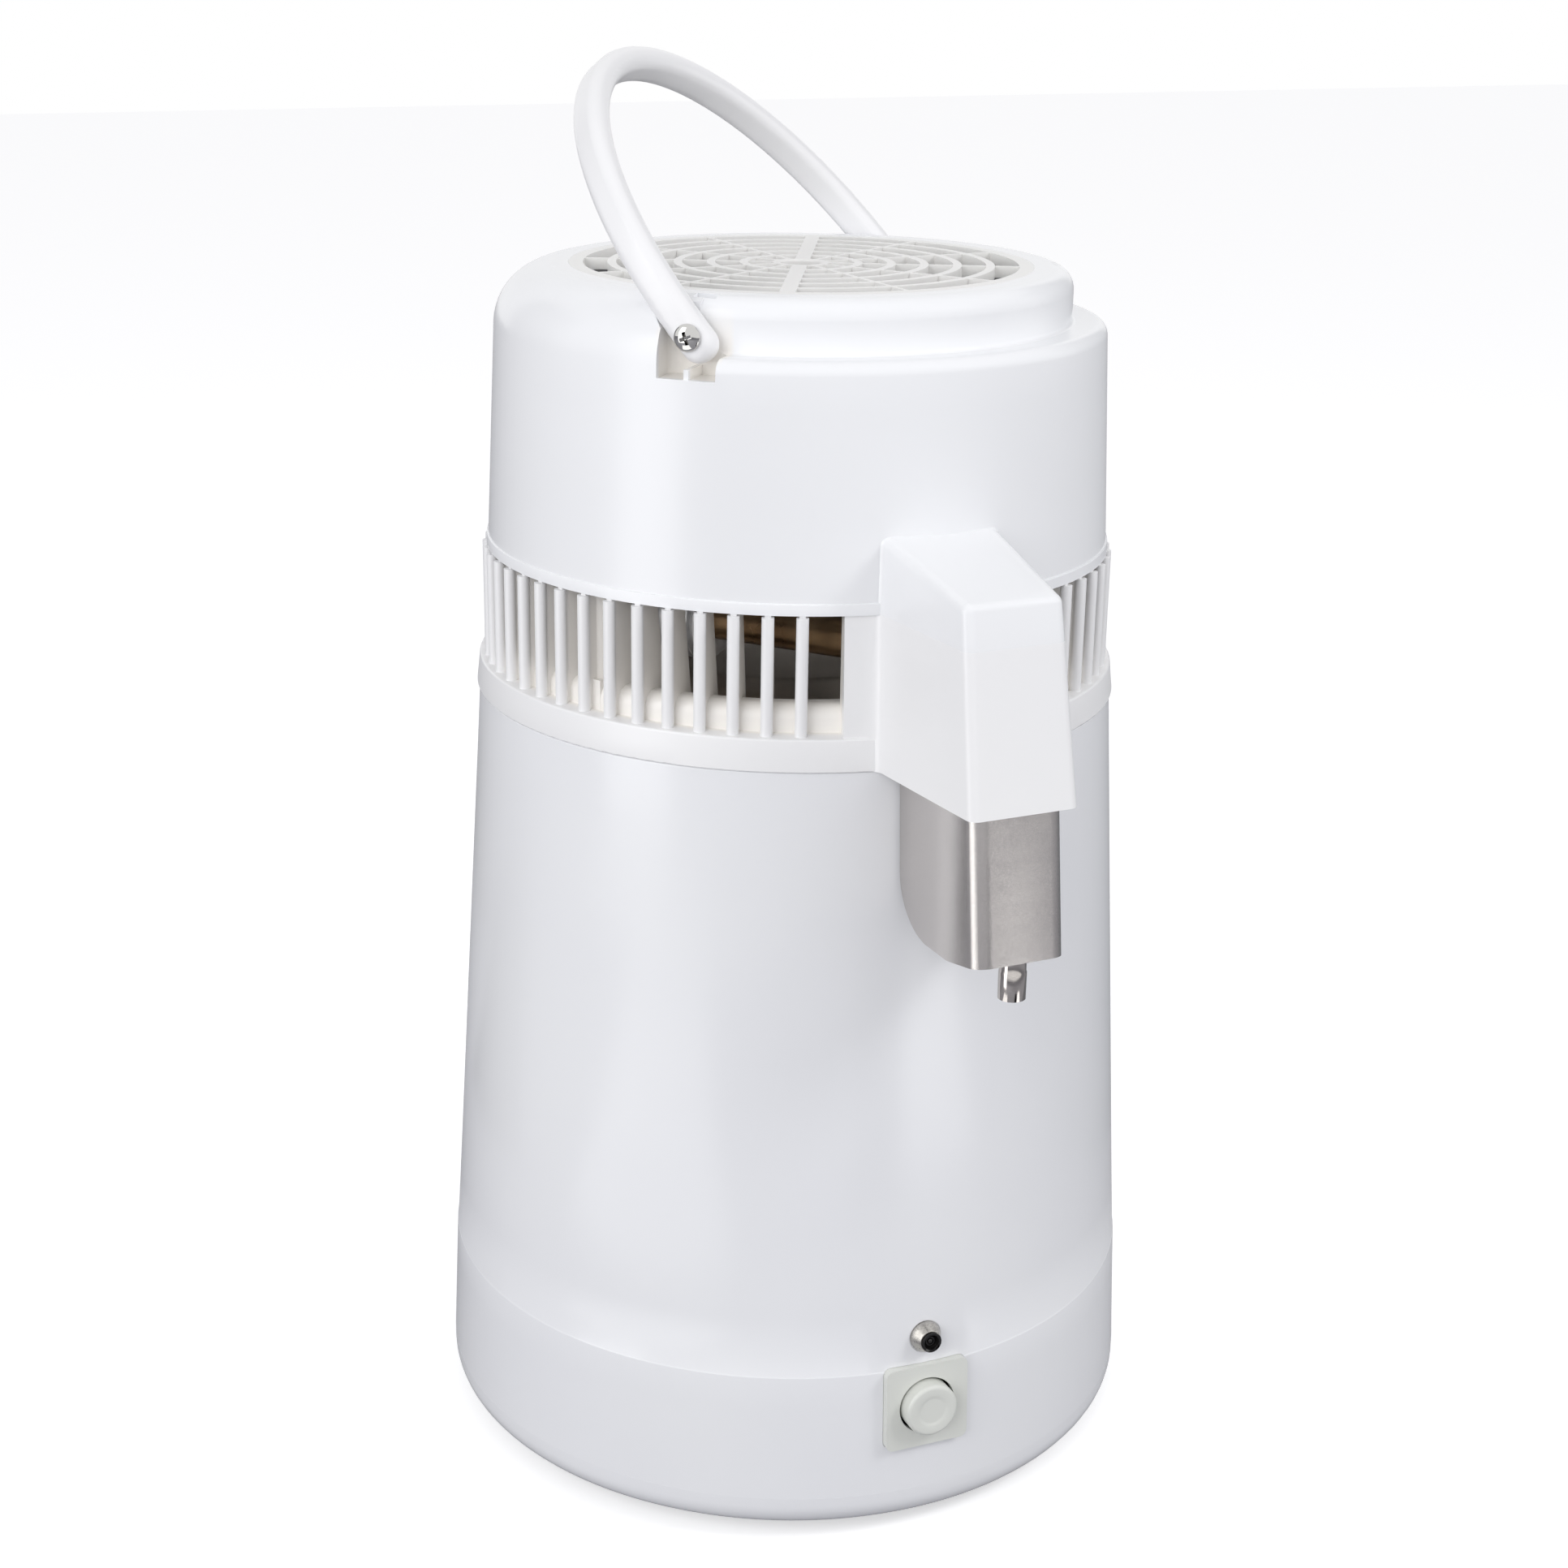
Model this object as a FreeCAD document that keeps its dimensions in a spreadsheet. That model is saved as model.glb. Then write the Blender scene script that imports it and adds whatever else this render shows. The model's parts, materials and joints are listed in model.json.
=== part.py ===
import FreeCAD, Part
import math
import os
import Sketcher

# Countertop water distiller: a boiler with a steel pot, and a lift-off head with a fan-cooled
# condenser coil, a spout with a steel filter cup, a vent band and a swinging carrying handle.
# Frame: origin on the boiler's axis at table level, +Z up, the spout towards -Y. Millimetres, degrees.
# An azimuth is measured from the spout's side (-Y), positive towards +X.

SIZES = {
    # boiler outside
    "foot_radius": 114.6,
    "skirt_inset": 2.1,
    "skirt_height": 58.5,
    "skirt_step": 0.25,
    "neck_radius": 100.7,
    "head_seam": 249.0,
    "base_seam": 16.5,
    "shell_wall": 2.4,
    # base pan
    "pan_bottom": 4.5,
    "pan_edge_round": 9.0,
    "pan_lip_height": 5.0,
    "foot_ring_outer": 79.0,
    "foot_ring_inner": 67.0,
    "foot_ring_bottom": 1.0,
    "rubber_foot_radius": 6.0,
    "rubber_foot_depth": 3.0,
    # boiling pot and heater
    "pot_inset": 12.2,
    "pot_floor": 70.0,
    "pot_wall": 0.9,
    "pot_corner": 14.0,
    "flange_inset": 3.1,
    "flange_drop": 4.0,
    "shelf_gap": 3.0,
    "shelf_thickness": 3.0,
    "heater_radius": 52.0,
    "heater_thickness": 7.0,
    "element_ring": 40.0,
    "element_bar": 4.0,
    "rod_circle": 62.0,
    "rod_radius": 2.0,
    # controls and inlet
    "control_turn": -2.5,
    "switch_height": 45.6,
    "plate_side": 27.5,
    "plate_seat": 1.2,
    "plate_proud": 1.6,
    "plate_hole": 9.3,
    "housing_side": 24.0,
    "housing_depth": 22.0,
    "button_radius": 8.5,
    "button_proud": 4.3,
    "button_travel": 3.0,
    "button_stem": 4.0,
    "housing_cap": 2.0,
    "led_height": 68.2,
    "led_radius": 5.0,
    "led_proud": 3.8,
    "led_shank": 3.8,
    "led_lens": 2.5,
    "inlet_height": 44.0,
    "inlet_wide": 31.0,
    "inlet_tall": 24.0,
    "inlet_seat": 1.1,
    "inlet_depth": 23.0,
    # head cover
    "vent_height": 45.2,
    "rim_setback": 3.3,
    "rim_lip": 3.4,
    "rim_lip_proud": 0.5,
    "cover_taper": 3.1,
    "shoulder_round": 18.5,
    "cover_height": 85.8,
    "cover_wall": 2.4,
    "ledge_width": 10.9,
    "drum_round": 6.0,
    "drum_height": 15.5,
    "ledge_round": 4.0,
    # top grille
    "grille_margin": 12.2,
    "grille_ledge": 3.6,
    "grille_overlap": 0.8,
    "grille_fit": 0.03,
    "grille_hub": 6.2,
    "grille_thickness": 3.4,
    "grille_bar": 2.6,
    "grille_spoke": 1.5,
    "grille_wide_spoke": 4.6,
    "grille_turn": 1.3,
    "grille_gaps": 6,
    # handle
    "pivot_azimuth": 45.0,
    "pivot_drop": 10.0,
    "handle_gap": 4.8,
    "bar_radial": 8.4,
    "bar_across": 10.4,
    "bar_corner": 3.4,
    "handle_lean": 40.7,
    "handle_tail": 3.0,
    "pivot_screw": 2.0,
    "handle_side_gap": 0.6,
    "stop_gap": 0.35,
    "pivot_boss": 11.0,
    "notch_half": 8.8,
    "notch_depth": 11.5,
    "notch_corner": 2.5,
    "notch_rib": 1.4,
    "notch_rib_height": 2.8,
    "recess_reach": 78.0,
    "recess_wide": 7.0,
    "recess_deep": 4.0,
    "recess_depth": 1.5,
    # vent band
    "ring_overhang": 0.9,
    "ring_taper": 1.1,
    "ring_height": 9.7,
    "collar_rise": 8.3,
    "collar_setback": 7.0,
    "collar_width": 10.6,
    "skirt_gap": 0.4,
    "skirt_depth": 2.8,
    "fin_start": 24.2,
    "fin_count": 55,
    "fin_rod": 1.8,
    "fin_rod_drop": 0.6,
    "fin_blade": 1.8,
    "fin_overlap": 1.2,
    "fin_slant": 5.2,
    "panel_half_angle": 17.2,
    "fin_top_gap": 0.0,
    "panel_thickness": 5.2,
    "post_azimuth": 64.6,
    "post_inset": 7.8,
    "post_radius": 3.4,
    "gasket_rise": 3.5,
    "gasket_inset": 5.1,
    # spout housing
    "spout_overhang": 46.7,
    "spout_rake": 10.7,
    "spout_front_rise": 12.1,
    "spout_top_fall": 9.5,
    "spout_bottom_half": 17.0,
    "spout_top_half": 15.3,
    "spout_root_flare": 3.2,
    "spout_root_depth": 2.1,
    "spout_root_round": 4.0,
    "spout_wing": 9.0,
    "spout_corner": 3.0,
    "spout_wall": 2.2,
    # filter cup and spout tube
    "cup_setback": 3.1,
    "cup_rake": 5.2,
    "cup_depth": 42.8,
    "cup_heel_drop": 3.6,
    "cup_toe": 17.4,
    "sachet_front": 13.4,
    "cup_side_gap": 2.6,
    "cup_corner": 5.0,
    "cup_wall": 0.8,
    "cup_back_gap": 0.8,
    "cup_neck": 7.0,
    "cup_neck_gap": 1.8,
    "cup_heel_round": 18.0,
    "tube_setback": 5.4,
    "tube_radius": 4.0,
    "tube_wall": 0.8,
    "tube_grip": 8.0,
    "tube_neck_step": 0.2,
    "tube_length": 8.6,
    # condenser
    "coil_radius": 62.0,
    "coil_drop_in": 11.7,
    "coil_drop": 13.0,
    "coil_heading": 38.0,
    "coil_bend": 28.0,
    "finned_run": 34.0,
    "drop_setback": 22.3,
    "drop_clearance": 9.0,
    "pipe_radius": 6.0,
    "pipe_wall": 0.7,
    "fin_collar_gap": 0.05,
    "riser_arc": 24.0,
    "riser_elbow": 12.0,
    "coil_fin_radius": 12.5,
    "coil_fin_thickness": 0.8,
    "coil_fin_pitch": 8.6,
    "dome_rise": 11.9,
    "dome_metal": 0.8,
    # fan
    "motor_radius": 26.0,
    "motor_length": 34.0,
    "fan_room": 43.5,
    "bracket_plate": 1.5,
    "bracket_inset": 11.1,
    "fan_radius": 60.0,
    "fan_hub": 12.0,
    "fan_hub_height": 14.0,
    "fan_gap": 4.0,
    "fan_blade_count": 6,
    "fan_inlet_rise": 23.8,
    "fan_inlet_wide": 20.0,
    "fan_inlet_tall": 10.0,
    "shaft_radius": 2.5,
    # clearances
    "fit_gap": 0.1,
    "running_gap": 0.05,
    "loose_gap": 0.3,
}

doc = FreeCAD.newDocument("WaterDistiller")
sheet = doc.addObject("Spreadsheet::Sheet", "Sizes")
for row, (name, number) in enumerate(SIZES.items(), start=1):
    sheet.set("A%d" % row, name)
    sheet.set("B%d" % row, str(number))
    sheet.setAlias("B%d" % row, name)
doc.recompute()


# ---------------------------------------------------------------- sizes as formulas

class Formula:
    """A number together with the expression over the sheet that gives it."""

    def __init__(self, value, text):
        self.value = float(value)
        self.text = text

    def __add__(self, other):
        other = formula(other)
        return Formula(self.value + other.value, "(%s + %s)" % (self.text, other.text))

    def __sub__(self, other):
        other = formula(other)
        return Formula(self.value - other.value, "(%s - %s)" % (self.text, other.text))

    def __mul__(self, other):
        other = formula(other)
        return Formula(self.value * other.value, "(%s * %s)" % (self.text, other.text))

    def __truediv__(self, other):
        other = formula(other)
        return Formula(self.value / other.value, "(%s / %s)" % (self.text, other.text))

    def __radd__(self, other):
        return formula(other) + self

    def __rsub__(self, other):
        return formula(other) - self

    def __rmul__(self, other):
        return formula(other) * self

    def __neg__(self):
        return 0 - self


def formula(number):
    return number if isinstance(number, Formula) else Formula(number, repr(number))


def size(name):
    return Formula(SIZES[name], "Sizes." + name)


def sine(angle):
    angle = formula(angle)
    return Formula(math.sin(math.radians(angle.value)), "sin(%s)" % angle.text)


def cosine(angle):
    angle = formula(angle)
    return Formula(math.cos(math.radians(angle.value)), "cos(%s)" % angle.text)


def arctangent(slope):
    slope = formula(slope)
    return Formula(math.degrees(math.atan(slope.value)), "(atan(%s) / 1 deg)" % slope.text)


def drive(thing, prop, number):
    """Bind a property to a formula, or set it where the number is a plain one."""
    if isinstance(number, Formula):
        thing.setExpression(prop, number.text)
    else:
        setattr(thing, prop, number)


def place(thing, x=0, y=0, z=0, yaw=0, roll=0):
    """Turn by roll about X, then by yaw about Z, and move to x, y, z."""
    terms = [formula(term).text for term in (x, y, z, yaw, roll)]
    thing.setExpression("Placement", "placement(vector(%s; %s; %s); rotation(%s; 0; %s))" % tuple(terms))
    return thing


# ---------------------------------------------------------------- modelling helpers

def new_body(label):
    body = doc.addObject("PartDesign::Body", label)
    body.Label = label
    return body


def origin_feature(body, role):
    return [feature for feature in body.Origin.OriginFeatures if feature.Role == role][0]


def new_sketch(body, plane="XY_Plane", offset=0, turn=0, spin=0):
    """Sketch on one of the body's own planes, offset along its normal.

    turn swings the plane about the sketch's upright axis, spin turns it in its own plane.
    """
    sketch = body.newObject("Sketcher::SketchObject", body.Name + "_sketch")
    sketch.AttachmentSupport = (origin_feature(body, plane), [""])
    sketch.MapMode = "FlatFace"
    terms = [formula(term).text for term in (offset, spin, turn)]
    shift = "placement(vector(0; 0; %s); rotation(%s; %s; 0))" % tuple(terms)
    sketch.setExpression("AttachmentOffset", shift)
    return sketch


class Constrainer:
    """Collects a sketch's geometry and constraints, then adds them with their expressions."""

    def __init__(self, sketch):
        self.sketch = sketch
        self.first = sketch.GeometryCount
        self.shapes = []
        self.rules = []
        self.texts = []

    def shape(self, geometry, construction=False):
        self.shapes.append((geometry, construction))
        return self.first + len(self.shapes) - 1

    def rule(self, *terms):
        self.rules.append(Sketcher.Constraint(*terms))
        self.texts.append(None)

    def measure(self, kind, *terms):
        number = formula(terms[-1])
        self.rules.append(Sketcher.Constraint(kind, *terms[:-1], number.value))
        self.texts.append(number.text)

    def pin(self, geometry, end, x, y):
        """Hold a point of the sketch at x, y."""
        for kind, axis, number in (("DistanceX", -2, x), ("DistanceY", -1, y)):
            if isinstance(number, Formula) or number != 0:
                self.measure(kind, -1, 1, geometry, end, number)
            else:
                self.rule("PointOnObject", geometry, end, axis)

    def finish(self):
        for geometry, construction in self.shapes:
            self.sketch.addGeometry(geometry, construction)
        start = self.sketch.ConstraintCount
        self.sketch.addConstraint(self.rules)
        for index, text in enumerate(self.texts):
            if text:
                self.sketch.setExpression("Constraints[%d]" % (start + index), text)


def outline(sketch, corners):
    """Closed outline through corners (x, y) or, where a corner is rounded, (x, y, radius)."""
    flat = FreeCAD.Vector
    count = len(corners)
    spots = [flat(formula(c[0]).value, formula(c[1]).value, 0) for c in corners]
    builder = Constrainer(sketch)
    entries, exits, arcs = [], [], {}
    for i, corner in enumerate(corners):
        if len(corner) == 2:
            entries.append(spots[i])
            exits.append(spots[i])
            continue
        radius = formula(corner[2]).value
        back = (spots[i - 1] - spots[i]).normalize()
        ahead = (spots[(i + 1) % count] - spots[i]).normalize()
        half = back.getAngle(ahead) / 2
        reach = radius / math.tan(half)
        entries.append(spots[i] + back * reach)
        exits.append(spots[i] + ahead * reach)
        middle = spots[i] + (back + ahead).normalize() * (radius / math.sin(half))
        left_turn = back.x * ahead.y - back.y * ahead.x < 0
        ends = (entries[i], exits[i]) if left_turn else (exits[i], entries[i])
        angles = [math.atan2(end.y - middle.y, end.x - middle.x) for end in ends]
        circle = Part.Circle(middle, flat(0, 0, 1), radius)
        arcs[i] = (Part.ArcOfCircle(circle, angles[0], angles[1]), 1 if left_turn else 2)
    lines = [builder.shape(Part.LineSegment(exits[i], entries[(i + 1) % count])) for i in range(count)]
    for i, corner in enumerate(corners):
        line_in, line_out = lines[i - 1], lines[i]
        if i in arcs:
            arc_in = arcs[i][1]
            arc = builder.shape(arcs[i][0])
            point = builder.shape(Part.Point(spots[i]), True)
            builder.rule("Tangent", line_in, 2, arc, arc_in)
            builder.rule("Tangent", line_out, 1, arc, 3 - arc_in)
            builder.rule("PointOnObject", point, 1, line_in)
            builder.rule("PointOnObject", point, 1, line_out)
            builder.pin(point, 1, corner[0], corner[1])
            builder.measure("Radius", arc, corner[2])
        else:
            builder.rule("Coincident", line_in, 2, line_out, 1)
            builder.pin(line_out, 1, corner[0], corner[1])
    builder.finish()
    return sketch


def circles(sketch, rings):
    """Circles, each given as (x, y, radius)."""
    builder = Constrainer(sketch)
    for x, y, radius in rings:
        centre = FreeCAD.Vector(formula(x).value, formula(y).value, 0)
        circle = builder.shape(Part.Circle(centre, FreeCAD.Vector(0, 0, 1), formula(radius).value))
        builder.pin(circle, 3, x, y)
        builder.measure("Radius", circle, radius)
    builder.finish()
    return sketch


def rectangle(left, right, bottom, top, radius=None):
    corners = [(left, bottom), (right, bottom), (right, top), (left, top)]
    return corners if radius is None else [corner + (radius,) for corner in corners]


def extrude(body, kind, sketch, length, symmetric=False, backwards=False):
    feature = body.newObject("PartDesign::" + kind, body.Name + "_" + kind.lower())
    feature.Profile = sketch
    feature.SideType = "Symmetric" if symmetric else "One side"
    feature.Reversed = backwards
    drive(feature, "Length", length)
    return feature


def pad(body, sketch, length, **sides):
    return extrude(body, "Pad", sketch, length, **sides)


def pocket(body, sketch, length, **sides):
    return extrude(body, "Pocket", sketch, length, **sides)


def spin(body, corners, plane="XZ_Plane", kind="Revolution", angle=360, middle=False, backwards=False):
    """Revolve, or groove, an outline of (radius, height) corners about the body's Z axis."""
    sketch = outline(new_sketch(body, plane), corners)
    feature = body.newObject("PartDesign::" + kind, body.Name + "_" + kind.lower())
    feature.Profile = sketch
    feature.ReferenceAxis = (sketch, ["V_Axis"])
    feature.Midplane = middle
    feature.Reversed = backwards
    drive(feature, "Angle", angle)
    return feature


def repeat(body, features, count, angle=360):
    """Copy features round the body's Z axis."""
    pattern = body.newObject("PartDesign::PolarPattern", body.Name + "_pattern")
    pattern.Originals = features
    pattern.Axis = (origin_feature(body, "Z_Axis"), [""])
    drive(pattern, "Angle", angle)
    drive(pattern, "Occurrences", count)
    body.Tip = pattern
    return pattern


def turned(label, corners, **options):
    """A body of revolution."""
    body = new_body(label)
    spin(body, corners, **options)
    return body


def round_edges(body, radius, chosen):
    """Fillet the edges of the body's last solid that the test picks."""
    doc.recompute()
    solid = body.Tip
    names = ["Edge%d" % (i + 1) for i, edge in enumerate(solid.Shape.Edges) if chosen(edge)]
    if not names:
        raise RuntimeError(body.Label + ": no edge to round")
    feature = body.newObject("PartDesign::Fillet", body.Name + "_fillet")
    feature.Base = (solid, names)
    drive(feature, "Radius", radius)
    return feature


def joined(label, *things):
    """One solid fused from several."""
    fusion = doc.addObject("Part::MultiFuse", label)
    fusion.Label = label
    fusion.Shapes = list(things)
    return fusion


def cut(label, base, *tools):
    """The base with the tools taken away."""
    difference = doc.addObject("Part::Cut", label)
    difference.Label = label
    difference.Base = base
    difference.Tool = tools[0] if len(tools) == 1 else joined(label + "_tools", *tools)
    return difference


def block(label, wide, deep, tall, x=0, y=0, z=0, yaw=0):
    """A box whose base is centred on x, y at height z."""
    box = doc.addObject("Part::Box", label)
    drive(box, "Length", wide)
    drive(box, "Width", deep)
    drive(box, "Height", tall)
    half_wide, half_deep = formula(wide) / 2, formula(deep) / 2
    left = x - half_wide * cosine(yaw) + half_deep * sine(yaw)
    front = y - half_wide * sine(yaw) - half_deep * cosine(yaw)
    return place(box, left, front, z, yaw=yaw)


def rod(label, radius, height, x=0, y=0, z=0, yaw=0, roll=0):
    """A cylinder that starts at x, y, z."""
    cylinder = doc.addObject("Part::Cylinder", label)
    drive(cylinder, "Radius", radius)
    drive(cylinder, "Height", height)
    return place(cylinder, x, y, z, yaw, roll)


def turned_copies(label, template, azimuths):
    """A group of separate solids: the template turned about the Z axis."""
    doc.recompute()
    copies = []
    for azimuth in azimuths:
        copy = template.Shape.copy()
        copy.rotate(FreeCAD.Vector(0, 0, 0), FreeCAD.Vector(0, 0, 1), azimuth)
        copies += copy.Solids
    group = doc.addObject("Part::Feature", label)
    group.Label = label
    group.Shape = Part.makeCompound(copies)
    return group


def evenly(count, first=0):
    return [first + 360.0 * i / count for i in range(count)]


# ---------------------------------------------------------------- sizes that several pieces share

fit_gap = size("fit_gap")
loose_gap = size("loose_gap")
shell_wall = size("shell_wall")
head_seam = size("head_seam")
base_seam = size("base_seam")
neck_radius = size("neck_radius")
foot_radius = size("foot_radius")
skirt_radius = foot_radius - size("skirt_inset")
pot_radius = neck_radius - size("pot_inset")
pot_flange = neck_radius - size("flange_inset")
shelf_radius = pot_radius + size("shelf_gap")
ring_bottom_radius = neck_radius + size("ring_overhang")
ring_top_radius = ring_bottom_radius - size("ring_taper")
ring_top = head_seam + size("ring_height")
collar_top = ring_top + size("collar_rise")
collar_outer = ring_bottom_radius - size("collar_setback")
collar_inner = collar_outer - size("collar_width")
gasket_top = head_seam + size("gasket_rise")
gasket_outer = neck_radius - size("gasket_inset")
cover_rim = head_seam + size("vent_height")
rim_radius = ring_top_radius - size("rim_setback")
shoulder_radius = rim_radius - size("cover_taper")
cover_top = cover_rim + size("cover_height")
shoulder_height = cover_top - size("shoulder_round")
drum_radius = shoulder_radius - size("ledge_width")
ledge_height = cover_top - size("drum_height")
grille_radius = drum_radius - size("grille_margin")
grille_opening = grille_radius - size("grille_ledge")
pivot_height = cover_top - size("pivot_drop")
notch_floor = pivot_height - size("notch_depth")
handle_arc = drum_radius + size("handle_gap")
bracket_height = cover_top - size("fan_room")
bracket_circle = shoulder_radius - size("bracket_inset")
fan_inlet_height = cover_rim + size("fan_inlet_rise")
fin_rod_circle = rim_radius
fin_foot = collar_inner - size("fin_overlap")
fin_head = fin_foot + size("fin_slant")
panel_inner = rim_radius - size("panel_thickness")
post_circle = rim_radius - size("post_inset")
spout_bottom_reach = ring_bottom_radius + size("spout_overhang")
spout_top_reach = spout_bottom_reach - size("spout_rake")
spout_top_height = cover_rim + size("spout_front_rise")
spout_root_height = spout_top_height + size("spout_top_fall")
cup_top_reach = spout_bottom_reach - size("cup_setback")
cup_bottom_reach = cup_top_reach + size("cup_rake")
cup_bottom = head_seam - size("cup_depth")
cup_heel = cup_bottom - size("cup_heel_drop")
cup_half = size("spout_bottom_half") - size("cup_side_gap")
cup_neck_back = ring_bottom_radius + size("cup_neck_gap")
tube_reach = cup_bottom_reach - size("tube_setback")
tube_bottom = cup_heel - size("tube_length")
tube_neck = size("tube_radius") - size("tube_neck_step")
coil_height = cover_rim - size("coil_drop_in")
drop_reach = spout_bottom_reach - size("drop_setback")
drop_end = head_seam + size("drop_clearance")
dome_top = gasket_top + size("dome_rise")
cover_wall = size("cover_wall")
through_wall = shell_wall * 10
shell_slope = (skirt_radius - neck_radius) / (head_seam - size("skirt_height"))
skirt_top = size("skirt_height") - size("skirt_step") * 1.6
skirt_brow = skirt_radius + size("skirt_step")
skirt_slope = (foot_radius - skirt_brow) / (skirt_top - base_seam)
cover_slope = (rim_radius - shoulder_radius) / (shoulder_height - cover_rim)
shelf_top = head_seam - size("flange_drop") - size("pot_wall")
pot_rim = head_seam - size("flange_drop")
pot_underside = size("pot_floor") - size("pot_wall")
pan_floor = size("pan_bottom") + shell_wall
pipe_radius = size("pipe_radius")
pivot_azimuth = size("pivot_azimuth")
bracket_top = bracket_height + size("bracket_plate")


def shell_radius(height):
    """Outer radius of the boiler's cone at a height above its skirt."""
    return neck_radius + shell_slope * (head_seam - height)


def skirt_wall(height):
    """Outer radius of the boiler's skirt at a height."""
    return foot_radius - skirt_slope * (height - base_seam)


def cover_radius(height):
    """Outer radius of the head cover's wall at a height."""
    return rim_radius - cover_slope * (height - cover_rim)


def band_radius(height):
    """Outer radius of the vent band at a height, from its seam ring up to the cover's rim."""
    slope = (ring_bottom_radius - rim_radius) / (cover_rim - head_seam)
    return ring_bottom_radius - slope * (height - head_seam)


def on_wall(thing, radius, height, azimuth, slope, depth=0):
    """Stand a thing on a sloping wall: its Z points out of the wall, its Y up along it."""
    lean = arctangent(slope)
    reach = radius + depth * cosine(lean)
    return place(thing, reach * sine(azimuth), -reach * cosine(azimuth), height + depth * sine(lean),
                 yaw=azimuth, roll=90 - lean)


# ---------------------------------------------------------------- boiler

def make_body_shell():
    """Conical outer wall with a skirt, a shelf that carries the pot, and openings for the controls."""
    wall_shell = turned("body_wall", [
        (neck_radius, head_seam, 0.8),
        (neck_radius - shell_wall, head_seam),
        (shell_radius(shelf_top) - shell_wall, shelf_top),
        (shelf_radius, shelf_top),
        (shelf_radius, shelf_top - size("shelf_thickness")),
        (shell_radius(shelf_top - 14) - shell_wall, shelf_top - 14),
        (skirt_radius - shell_wall, size("skirt_height")),
        (skirt_brow - shell_wall, skirt_top),
        (foot_radius - shell_wall, base_seam),
        (foot_radius, base_seam),
        (skirt_brow, skirt_top, 0.6),
        (skirt_radius, size("skirt_height")),
    ])
    height, turn = size("switch_height"), size("control_turn")
    radius = skirt_wall(height)
    side = size("plate_side") / 2 + fit_gap
    seat = new_body("plate_seat")
    pad(seat, outline(new_sketch(seat), rectangle(-side, side, -side, side, 2.6)), 12)
    on_wall(seat, radius, height, turn, skirt_slope, depth=-size("plate_seat"))
    side = size("housing_side") / 2 + fit_gap
    hole = new_body("housing_hole")
    pad(hole, outline(new_sketch(hole), rectangle(-side, side, -side, side, 1.2)), through_wall, symmetric=True)
    on_wall(hole, radius, height, turn, skirt_slope)

    height = size("led_height")
    led_seat = rod("led_seat", size("led_radius") + loose_gap, 6)
    on_wall(led_seat, shell_radius(height), height, turn, shell_slope, depth=-loose_gap)
    led_hole = rod("led_hole", size("led_shank") + fit_gap, 12)
    on_wall(led_hole, shell_radius(height), height, turn, shell_slope, depth=-6)

    height = size("inlet_height")
    wide, tall = size("inlet_wide") / 2 + fit_gap, size("inlet_tall") / 2 + fit_gap
    inlet_seat = new_body("inlet_seat")
    pad(inlet_seat, outline(new_sketch(inlet_seat), rectangle(-wide, wide, -tall, tall, 3)), 12)
    on_wall(inlet_seat, skirt_wall(height), height, 180, skirt_slope, depth=-size("inlet_seat"))
    wide, tall = size("inlet_wide") / 2 - 2, size("inlet_tall") / 2 - 2
    inlet_hole = new_body("inlet_hole")
    opening = outline(new_sketch(inlet_hole), rectangle(-wide, wide, -tall, tall, 1.5))
    pad(inlet_hole, opening, through_wall, symmetric=True)
    on_wall(inlet_hole, skirt_wall(height), height, 180, skirt_slope)
    return cut("body_shell", wall_shell, seat, hole, led_seat, led_hole, inlet_seat, inlet_hole)


def make_base_pan():
    """Moulded bottom with a foot ring, foot recesses, and bosses for the tie rods."""
    lip = foot_radius - shell_wall - fit_gap * 2
    bottom = size("pan_bottom")
    pan = turned("pan_form", [
        (0, bottom),
        (size("foot_ring_inner"), bottom),
        (size("foot_ring_inner"), size("foot_ring_bottom")),
        (size("foot_ring_outer"), size("foot_ring_bottom")),
        (size("foot_ring_outer"), bottom),
        (foot_radius, bottom, size("pan_edge_round")),
        (foot_radius, base_seam),
        (lip, base_seam),
        (lip, base_seam + size("pan_lip_height")),
        (lip - 2, base_seam + size("pan_lip_height")),
        (lip - 2, pan_floor, size("pan_edge_round") - shell_wall),
        (0, pan_floor),
    ])
    bosses, holes = [], []
    boss_height = 6
    for index, azimuth in enumerate(evenly(3, 60)):
        x, y = size("rod_circle") * sine(azimuth), -size("rod_circle") * cosine(azimuth)
        bosses.append(rod("rod_boss%d" % index, size("rod_radius") + 3, boss_height, x, y, pan_floor - 1))
        holes.append(rod("rod_hole%d" % index, size("rod_radius") + fit_gap, pan_floor + boss_height, x, y, 0))
    foot_circle = (size("foot_ring_inner") + size("foot_ring_outer")) / 2
    for index, azimuth in enumerate(evenly(4, 45)):
        x, y = foot_circle * sine(azimuth), -foot_circle * cosine(azimuth)
        depth = size("rubber_foot_depth")
        holes.append(rod("foot_recess%d" % index, size("rubber_foot_radius") + fit_gap, depth, x, y, 0))
    return cut("base_pan", joined("pan_with_bosses", pan, *bosses), *holes)


def make_rubber_feet():
    foot_circle = (size("foot_ring_inner") + size("foot_ring_outer")) / 2
    foot = rod("foot", size("rubber_foot_radius"), size("rubber_foot_depth"), 0, -foot_circle, 0)
    return turned_copies("rubber_feet", foot, evenly(4, 45))


def make_boiling_pot():
    """Deep-drawn steel pot that hangs by its flange."""
    radius, wall = pot_radius, size("pot_wall")
    return turned("boiling_pot", [
        (0, pot_underside),
        (radius + wall, pot_underside, size("pot_corner") + wall),
        (radius + wall, shelf_top, 1.5),
        (pot_flange, shelf_top),
        (pot_flange, pot_rim),
        (radius, pot_rim, 1.5 + wall),
        (radius, size("pot_floor"), size("pot_corner")),
        (0, size("pot_floor")),
    ])


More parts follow.
